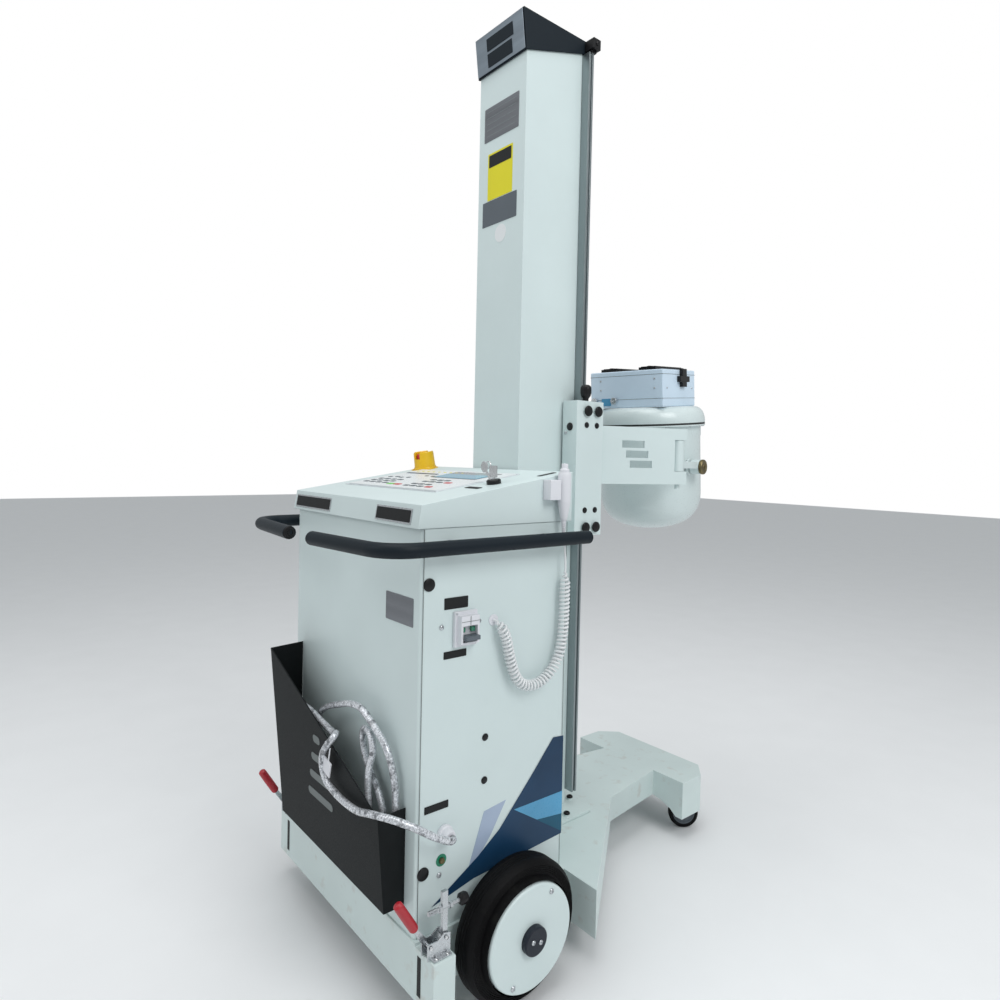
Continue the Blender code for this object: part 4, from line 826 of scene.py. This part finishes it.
def add_cable_tag():
    """A blank white tag tied to the folded cable."""
    tag = Shape(Matrix.Translation((0.052, -0.066, 0.372)) @ Matrix.Rotation(math.radians(14), 4, "Y"))
    tag.box((-0.019, -0.0012, -0.013), (0.019, 0.0012, 0.013))
    tag.rod((-0.01, 0, 0.012), (-0.014, 0.002, 0.036), 0.0014, 10)
    tag.rod((0.008, 0, 0.012), (0.004, 0.002, 0.034), 0.0012, 10)
    tag.make("cable_tag", IVORY, slot="ivory_plastic", bevel=0.0005)


# ---------------------------------------------------------------- column


def add_column_details():
    plate = Shape(COLUMN_REAR_FACE)
    plate.prism(rounded(-0.058, 1.569, 0.055, 1.64, 0.002), 0.0001, 0.0009)
    plate.make("column_metal_plate", PLATE_METAL, slot="aluminium", bevel=0.0002)
    ridges = Shape(COLUMN_REAR_FACE)
    for k in range(5):
        ridges.box((-0.05, 1.58 + 0.0125 * k, 0.0009), (0.047, 1.5812 + 0.0125 * k, 0.0011))
    ridges.make("column_plate_ridges", RAIL_METAL, slot="aluminium")
    yellow = Shape(COLUMN_REAR_FACE)
    yellow.prism(rounded(-0.044, 1.4435, 0.038, 1.5415, 0.001), 0.0001, 0.0006)
    yellow.make("column_yellow_label", PLATE_YELLOW, slot="yellow_plastic")
    band = Shape(COLUMN_REAR_FACE)
    band.prism(rounded(-0.04, 1.512, 0.034, 1.5375, 0.0005), 0.0007, 0.001)
    band.make("column_label_band", SATIN_BLACK, slot="black_plastic")
    Shape(COLUMN_REAR_FACE).prism(rounded(-0.0595, 1.39, 0.0535, 1.442, 0.001), 0.0001, 0.0007).make(
        "column_dark_plate", KEY_GREY, slot="black_plastic")
    Shape(COLUMN_REAR_FACE).lathe([(0, 0.0001), (0.0185, 0.0001), (0.0185, 0.0005), (0, 0.0005)],
                                  (0.0029, 1.367, 0), (0, 0, 1), 48).make("column_round_label", OVERLAY,
                                                                          slot="overlay_plastic")


def add_cap_details():
    metal = Shape(CAP_REAR_FACE)
    metal.prism([(-0.0775, -0.0375), (0.0775, -0.0375), (0.0775, 0.0375), (-0.0775, 0.0375)], 0.0001,
                0.0012)
    metal.make("cap_metal_face", CAP_METAL, slot="aluminium", bevel=0.0004)
    plates = Shape(CAP_REAR_FACE)
    plates.prism(rounded(-0.04, 0.001, 0.046, 0.026, 0.001), 0.0012, 0.002)
    plates.prism(rounded(-0.04, -0.031, 0.04, -0.004, 0.001), 0.0012, 0.002)
    plates.make("cap_dark_plates", SLATE, slot="slate_paint", bevel=0.0003)
    blocks = Shape()
    for side in (1, -1):
        low, high = sorted((side * 0.082, side * 0.108))
        blocks.box((low, 0.479, 1.7655), (high, 0.5, CAP_TOP - 0.0035))
        low, high = sorted((side * 0.06, side * 0.1))
        blocks.box((low, 0.482, 1.7605), (high, 0.496, 1.7665))
        screw_head(blocks, (side * 0.108, 0.49, 1.776), (side, 0, 0), 0.004)
    blocks.make("rail_end_blocks", BLACK, slot="black_plastic", bevel=0.001)


# ---------------------------------------------------------------- carriage


def add_carriage_details():
    caps, screws = Shape(), Shape()
    for side in (1, -1):
        x = side * (CARRIAGE_SIDE + 0.0043)
        for z in (0.757, 1.0015):
            for y in (0.469, 0.4995):
                plug_cap(caps, (x, y, z), (side, 0, 0), 0.0112)
        x = side * (CARRIAGE_SIDE + 0.0001)
        for z in (0.793, 0.972):
            for y in (0.469, 0.4995):
                plug_cap(caps, (x, y, z), (side, 0, 0), 0.0062)
        plug_cap(caps, (side * 0.104, 0.4399, 0.968), (0, -1, 0), 0.0085)
    caps.make("carriage_roller_caps", BLACK, "carriage", "black_plastic")
    for side in (1, -1):
        for z in (0.8, 0.877, 0.955):
            screw_head(screws, (side * 0.092, 0.4399, z), (0, -1, 0), 0.0036)
    screws.make("carriage_gib_screws", ZINC, "carriage", "steel")


def add_lock_knob():
    """A tapering ball-grip lever knob with finger flutes."""
    low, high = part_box("carriage_lock_knob")
    centre = (low + high) / 2
    knob = Shape()
    profile = [(0, 0), (0.006, 0), (0.006, 0.005), (0.0075, 0.0075), (0.0105, 0.011), (0.0122, 0.017),
               (0.0125, 0.024), (0.012, 0.029), (0.0098, 0.0326), (0.006, 0.0346), (0, 0.035)]
    knob.lathe(profile, (centre.x, centre.y + CENTRE_Y, low.z), (0, 0, 1), 48)
    for vertex in knob.mesh.verts:
        offset = vertex.co - Vector((centre.x, centre.y + CENTRE_Y, vertex.co.z))
        if offset.length > 0.009:
            flute = 1 - 0.06 * (0.5 + 0.5 * math.cos(8 * math.atan2(offset.y, offset.x)))
            vertex.co.xy = Vector((centre.x, centre.y + CENTRE_Y)) + offset.xy * flute
    knob.make("carriage_lock_grip", BLACK, "carriage_lock_knob", "black_plastic",
              replaces=["carriage_lock_knob"])


# ---------------------------------------------------------------- tube head

TANK_BOTTOM = -0.16
FLANGE_LEVEL = 0.102
TANK_RADIUS = 0.1265
HEAD_Y = 0.03
COLLIMATOR_LOW = FLANGE_LEVEL + 0.0446 + 0.0003
COLLIMATOR_HIGH = COLLIMATOR_LOW + 0.0895


def add_tank():
    """The pressed tank: a round wall that turns into a shallow dished end."""
    r, wall = TANK_RADIUS, 0.003
    outside = [(0, TANK_BOTTOM)]
    for k in range(1, 13):
        angle = math.radians(90 * k / 12)
        outside.append((r * math.sin(angle) ** 0.8, TANK_BOTTOM + 0.092 * (1 - math.cos(angle) ** 0.8)))
    outside += [(r, FLANGE_LEVEL - 0.03), (r + 0.0012, FLANGE_LEVEL - 0.028), (r + 0.0012, FLANGE_LEVEL)]
    inside = [(max(0, radius - wall), level + (wall if radius < r * 0.7 else 0)) for radius,
              level in outside[:-2]]
    inside[0] = (0, TANK_BOTTOM + wall)
    inside.append((r - wall, FLANGE_LEVEL))
    tank = Shape(HEAD)
    tank.lathe(outside + inside[::-1], (0, HEAD_Y, 0), (0, 0, 1), 96)
    reach = math.sqrt(r * r - HEAD_Y * HEAD_Y) - 0.002
    tank.lathe([(0.02, 0), (0.02, 0.0035), (0.019, 0.0045), (0.0082, 0.0045), (0.0082, 0.017), (0, 0.017)],
               (reach, 0, 0), (1, 0, 0), 48)
    tank.make("tank_shell", HEAD_PAINT, "tube_head", "white_paint", replaces=["tube_housing_tank"])


def add_lid():
    low = FLANGE_LEVEL + 0.0046
    top = low + 0.04
    outside = [(0.138, low), (0.1382, low + 0.006), (0.1372, low + 0.014), (0.135, low + 0.022),
               (0.1315, low + 0.029), (0.1265, low + 0.0345), (0.12, low + 0.0385), (0.112, top),
               (0.06, top), (0.03, top), (0, top)]
    inside = [(0, top - 0.003), (0.11, top - 0.003), (0.118, top - 0.0055), (0.1235, top - 0.01),
              (0.129, top - 0.018), (0.1335, top - 0.03), (0.1345, low)]
    lid = Shape(HEAD)
    lid.lathe(outside + inside, (0, HEAD_Y, 0), (0, 0, 1), 96, closed=False)
    rim = [(0.1345, low), (0.138, low)]
    lid.lathe(rim, (0, HEAD_Y, 0), (0, 0, 1), 96)
    bmesh.ops.remove_doubles(lid.mesh, verts=lid.mesh.verts, dist=0.00001)
    lid.make("lid_shell", HEAD_PAINT, "tube_head", "white_paint", replaces=["tank_lid"])
    flange = Shape(HEAD)
    flange.lathe([(0.1272, -0.0036), (0.1376, -0.0036), (0.1382, -0.003), (0.1382, -0.0006), (0.1376, 0.0),
                  (0.1272, 0.0)], (0, HEAD_Y, FLANGE_LEVEL), (0, 0, 1), 96, closed=True)
    flange.make("tank_flange", HEAD_PAINT, "tube_head", "white_paint")
    bolts = Shape(HEAD)
    for k in range(12):
        angle = 2 * math.pi * (k + 0.5) / 12
        at = (0.1335 * math.cos(angle), HEAD_Y + 0.1335 * math.sin(angle), FLANGE_LEVEL - 0.0037)
        screw_head(bolts, at, (0, 0, -1), 0.0036, 18)
    bolts.make("flange_bolts", ZINC, "tube_head", "steel")


def add_collimator_details():
    (x0, y0), (x1, y1) = (-0.11, -0.072), (0.09, 0.108)
    low, high = COLLIMATOR_LOW, COLLIMATOR_HIGH
    seam = Shape(HEAD)
    for z in (low + 0.02, high - 0.012):
        seam.prism([(x0 - 0.0003, y0 - 0.0003), (x1 + 0.0003, y0 - 0.0003), (x1 + 0.0003, y1 + 0.0003),
                    (x0 - 0.0003, y1 + 0.0003)], z, z + 0.0009)
    seam.make("collimator_seams", SEAM, "tube_head", "grey_paint")
    screws = Shape(HEAD)
    for x in (x0 + 0.03, x1 - 0.022):
        for z in (low + 0.045, high - 0.022):
            screw_head(screws, (x, y0 - 0.0002, z), (0, -1, 0), 0.0024, 18)
    for y in (y0 + 0.02, y1 - 0.02):
        screw_head(screws, (x1 + 0.0002, y, low + 0.045), (1, 0, 0), 0.0024, 18)
    screws.make("collimator_screws", ZINC, "tube_head", "steel")
    label = Shape(HEAD @ face_matrix((0, y0 - 0.0003, low), (1, 0, 0), (0, 0, 1)))
    label.prism(rounded(x0 + 0.032, 0.006, x0 + 0.058, 0.024, 0.001), 0.0, 0.0006)
    label.make("collimator_blue_label", BRIGHT_BLUE, "tube_head", "overlay_plastic")
    window = Shape(HEAD)
    window.prism(rounded(x0 + 0.058, y0 + 0.03, x1 - 0.058, y1 - 0.03, 0.003), high - 0.0115, high - 0.0095)
    window.make("collimator_window", GLASS, "tube_head", "glass", bevel=0.0004)
    strips = Shape(HEAD)
    for x in (-0.085, 0.02):
        strips.box((x + 0.004, y0 + 0.016, high + 0.0073), (x + 0.041, y1 - 0.016, high + 0.009))
        strips.box((x + 0.018, y0 + 0.022, high + 0.009), (x + 0.026, y1 - 0.022, high + 0.0104))
    strips.make("accessory_rail_strips", BLACK, "tube_head", "black_plastic", bevel=0.0006)


def add_collimator_knobs():
    for index, x in enumerate((-0.11 + 0.016, -0.11 + 0.072)):
        knob = Shape(HEAD)
        profile = [(0, 0), (0.004, 0), (0.004, 0.003), (0.0078, 0.0034), (0.0084, 0.0042), (0.0086, 0.012),
                   (0.0078, 0.0134), (0.003, 0.0136), (0.0026, 0.0128), (0, 0.0128)]
        knob.lathe(profile, (x, -0.0723, COLLIMATOR_LOW + 0.018), (0, -1, 0), 48)
        name = f"collimator_knob_{index + 1}"
        knob.make(f"collimator_dial_{index + 1}", ZINC, name, "steel", bevel=0.0003, replaces=[name])


def add_tilt_knob():
    knob = Shape(HEAD @ Matrix.Rotation(-HEAD_TILT, 4, "X"))
    profile = [(0, -0.008), (0.0074, -0.008), (0.0074, 0), (0.015, 0), (0.0172, 0.0009), (0.018, 0.0024),
               (0.018, 0.0066), (0.0172, 0.0082), (0.016, 0.0092), (0.012, 0.0092), (0.0112, 0.0082),
               (0.0058, 0.0082), (0.0052, 0.0095), (0.004, 0.0095), (0.0034, 0.007), (0, 0.007)]
    knob.lathe(profile, (0.1518, 0, 0), (1, 0, 0), 72)
    knob.make("tilt_knob_brass", BRASS, "tilt_lock_knob", "brass", bevel=0.0002,
              replaces=["tilt_lock_knob"])


# ---------------------------------------------------------------- wheels, casters and brakes


def add_wheel(side):
    name = "right" if side > 0 else "left"
    start, axis = (0, WHEEL_CENTRE_Y, WHEEL_RADIUS), (side, 0, 0)
    body = f"wheel_{name}"
    disc = Shape()
    disc.lathe([(0.0103, 0.262), (0.026, 0.262), (0.028, 0.28), (0.05, 0.283), (0.076, 0.28), (0.08, 0.266),
                (0.0868, 0.264), (0.088, 0.268), (0.088, 0.305), (0.0862, 0.3175), (0.0857, 0.3195),
                (0.0847, 0.3212), (0.083, 0.322), (0.06, 0.322), (0.024, 0.322), (0.0103, 0.3205),
                (0.0103, 0.3)], start, axis, 96, closed=True)
    disc.make(f"wheel_cover_{name}", PAINT, body, "white_paint", bevel=0.0003,
              replaces=[f"wheel_disc_{name}"])
    hub = Shape()
    hub.lathe([(0.0, 0.3215), (0.0235, 0.3215), (0.0235, 0.33), (0.0229, 0.3318), (0.0212, 0.333),
               (0, 0.333)],
              start, axis, 64)
    hub.make(f"wheel_hub_{name}", NAVY_HUB, body, "black_plastic")
    screws = Shape()
    for k in (0, 1):
        angle = math.radians(160 + 180 * k)
        at = Vector(start) + Vector((side * 0.3329, 0.0085 * math.cos(angle), 0.0085 * math.sin(angle)))
        screw_head(screws, at, axis, 0.004)
        angle = math.radians(58 + 180 * k)
        at = Vector(start) + Vector((side * 0.3219, 0.075 * math.cos(angle), 0.075 * math.sin(angle)))
        screw_head(screws, at, axis, 0.0046)
    screws.make(f"wheel_screws_{name}", ZINC, body, "steel")
    add_tyre(side, start, axis, body)


def add_tyre(side, start, axis, body):
    """A solid rubber tyre with moulded rings on its shoulder and a grooved tread."""
    inner, outer, radius = 0.258, 0.303, WHEEL_RADIUS
    profile = [(0.0885, inner + 0.007), (0.096, inner + 0.003), (0.104, inner),
               (radius - 0.005, inner + 0.002),
               (radius - 0.0014, inner + 0.006), (radius, inner + 0.012)]
    for k in range(3):
        at = inner + 0.016 + 0.006 * k
        profile += [(radius, at), (radius - 0.0012, at + 0.0008), (radius - 0.0012, at + 0.0018),
                    (radius, at + 0.0026)]
    profile += [(radius, outer - 0.012), (radius - 0.0014, outer - 0.0055),
                (radius - 0.0048, outer - 0.0018)]
    for k in range(5):
        ring = radius - 0.0075 - 0.0028 * k
        profile += [(ring + 0.001, outer), (ring + 0.0003, outer + 0.0008), (ring - 0.0007, outer + 0.0008),
                    (ring - 0.0014, outer)]
    profile += [(0.0925, outer + 0.0004), (0.0893, DISC_FACE - 0.004)]
    tyre = Shape()
    tyre.lathe(profile, start, axis, 128, closed=True)
    name = "right" if side > 0 else "left"
    tyre.make(f"tyre_{name}", TYRE, body, "rubber", replaces=[f"wheel_tyre_{name}"])


def add_caster_wheel(side):
    name = "right" if side > 0 else "left"
    low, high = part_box(f"caster_wheel_{name}")
    centre = (low + high) / 2
    heading = math.radians(40.7)
    axis = (math.cos(heading), -math.sin(heading), 0)
    start = Vector((centre.x, centre.y + CENTRE_Y, centre.z)) - Vector(axis) * 0.012
    radius = 0.036
    wheel = Shape()
    tread = [(0.0262, 0.0022), (0.0298, 0.0004), (radius - 0.003, 0.001), (radius - 0.001, 0.003),
             (radius, 0.007), (radius, 0.017), (radius - 0.001, 0.021), (radius - 0.003, 0.023),
             (0.0298, 0.0236), (0.0262, 0.0218)]
    wheel.lathe(tread, start, axis, 64, closed=True)
    wheel.make(f"caster_tread_{name}", TYRE, f"caster_wheel_{name}", "rubber",
               replaces=[f"caster_wheel_{name}"])
    core = Shape()
    core.lathe([(0.0043, 0.0004), (0.0118, 0.0004), (0.0126, 0.0012), (0.014, 0.0045), (0.0225, 0.0045),
                (0.024, 0.0024), (0.0264, 0.002), (0.0264, 0.022), (0.024, 0.0216), (0.0225, 0.0195),
                (0.014, 0.0195), (0.0126, 0.0228), (0.0118, 0.0236), (0.0043, 0.0236)], start, axis, 48,
               closed=True)
    core.make(f"caster_core_{name}", KEY_GREY, f"caster_wheel_{name}", "black_plastic")


BRAKE_X = 0.277


def add_brake_details(side):
    """Rivets, adjusting nuts, rubber tip and dipped grip of one toggle brake."""
    name = "right" if side > 0 else "left"
    x = side * BRAKE_X
    rivets = Shape()
    for y, z in ((0.026, 0.163), (-0.001, 0.157)):
        for end in (1, -1):
            rivets.lathe([(0, 0), (0.0034, 0), (0.0031, 0.001), (0.0018, 0.0016), (0, 0.0017)],
                         (x + end * 0.011, y, z), (end, 0, 0), 24)
    for dx, y in ((-0.0135, 0.006), (0.0135, 0.006), (-0.0135, 0.026), (0.0135, 0.026)):
        screw_head(rivets, (x + dx, y, 0.1393), (0, 0, 1), 0.003, 18)
    rivets.make(f"brake_rivets_{name}", STEEL, slot="steel")
    spindle_z = 0.163 + 0.044
    nuts = Shape()
    for y in (0.015, 0.0342):
        nuts.lathe([(0, 0), (0.0058, 0), (0.0062, 0.0006), (0.0062, 0.004), (0.0058, 0.0046), (0, 0.0046)],
                   (x + 0.0035, y, spindle_z), (0, 1, 0), 6)
    for k in range(9):
        at = 0.0 + 0.0016 * k
        nuts.lathe([(0, 0), (0.0037, 0.0002), (0.0041, 0.0008), (0.0037, 0.0014), (0, 0.0015)],
                   (x + 0.0035, -0.0035 + at, spindle_z), (0, 1, 0), 20)
    nuts.make(f"brake_nuts_{name}", ZINC, f"brake_arm_{name}", "steel")
    tip = Shape()
    tip.lathe([(0, -0.0002), (0.0058, -0.0002), (0.0092, 0.0028), (0.0094, 0.0108), (0.0076, 0.0144),
               (0.003, 0.0158), (0, 0.016)], (x + 0.0035, 0.053, spindle_z), (0, 1, 0), 40)
    tip.make(f"brake_tip_{name}", BLACK, f"brake_arm_{name}", "black_plastic")
    lever = Shape()
    low = Vector((x - 0.005, -0.001 - 0.022, 0.157 + 0.032))
    high = Vector((x - 0.005, -0.001 - 0.05, 0.157 + 0.078))
    lever.lathe([(0, -0.0022), (0.006, -0.0018), (0.0074, 0.0015), (0.0076, 0.02), (0.0075, 0.05),
                 (0.007, 0.055), (0.0045, 0.0572), (0, 0.058)], low, high - low, 32)
    lever.make(f"brake_grip_{name}", RED, f"brake_lever_{name}", "red_plastic")
    strap = NODES[f"brake_lever_{name}"]
    finish_node(strap.name, ZINC, 0.0004)


# ---------------------------------------------------------------- hand switch and handles


def add_hand_switch():
    x, y = SWITCH_AXIS
    shell = Shape()
    profile = [(0, 0.0), (0.003, 0.0), (0.0036, 0.014), (0.0049, 0.0175), (0.0066, 0.021),
               (0.0088, 0.034), (0.011, 0.047), (0.0115, 0.0495), (0.0115, 0.051), (0.0111, 0.0515),
               (0.0115, 0.052), (0.0118, 0.068), (0.0118, 0.096), (0.0114, 0.1005), (0.0104, 0.104),
               (0.009, 0.104), (0.009, 0.0962), (0, 0.0962)]
    shell.lathe(profile, (x, y, SWITCH_FOOT), (0, 0, 1), 56)
    shell.make("hand_switch_shell", IVORY, slot="ivory_plastic", replaces=["hand_switch_body"])
    clip = Shape()
    clip.box((CONSOLE_SIDE, y + 0.0128, 0.8268), (CONSOLE_SIDE + 0.005, y + 0.0144, 0.862))
    clip.make("switch_holder_clip", IVORY, slot="ivory_plastic", bevel=0.0004)


def add_handle_caps():
    caps = Shape()
    for side in (1, -1):
        caps.lathe([(0, 0), (0.0114, 0), (0.011, 0.001), (0.009, 0.0018), (0, 0.002)],
                   (side * HANDLE_X, HANDLE_FRONT, HANDLE_Z), (0, 1, 0), 40)
        caps.lathe([(0, 0), (0.0114, 0), (0.0108, 0.001), (0.006, 0.0016), (0.0052, 0.0002), (0, 0.0002)],
                   (side * 0.048, -0.0945, HANDLE_Z), (-side, 0.03, 0), 40)
    caps.make("handle_end_caps", BLACK, slot="black_plastic")


def add_base_details():
    marks = Shape()
    for side in (1, -1):
        for x, y in ((0.118, 0.444), (0.07, 0.499)):
            screw_head(marks, (side * x, y, 0.1525), (0, 0, 1), 0.007)
    marks.make("foot_bolt_heads", BLACK, slot="black_plastic")
    strips = Shape()
    for side in (1, -1):
        low, high = sorted((side * 0.252, side * 0.262))
        strips.box((low, -0.0037, 0.066), (high, -0.0031, 0.128))
    strips.make("block_dark_strips", SATIN_BLACK, slot="black_plastic", bevel=0.0002)


# ---------------------------------------------------------------- assembly


def build():
    add_camera()
    add_studio()
    finish_nodes()
    add_hand_switch()
    add_mains_cable()
    add_curly_cord()
    add_strain_reliefs()
    add_keys()
    add_console_details()
    add_blank_plates()
    add_key_ring()
    add_stop_guard_details()
    add_cabinet_details()
    add_side_graphic()
    add_breaker_details()
    add_pocket_details()
    add_cable_tag()
    add_column_details()
    add_cap_details()
    add_carriage_details()
    add_lock_knob()
    add_tank()
    add_lid()
    add_collimator_details()
    add_collimator_knobs()
    add_tilt_knob()
    for side in (1, -1):
        add_wheel(side)
        add_caster_wheel(side)
        add_brake_details(side)
    add_handle_caps()
    add_base_details()


build()
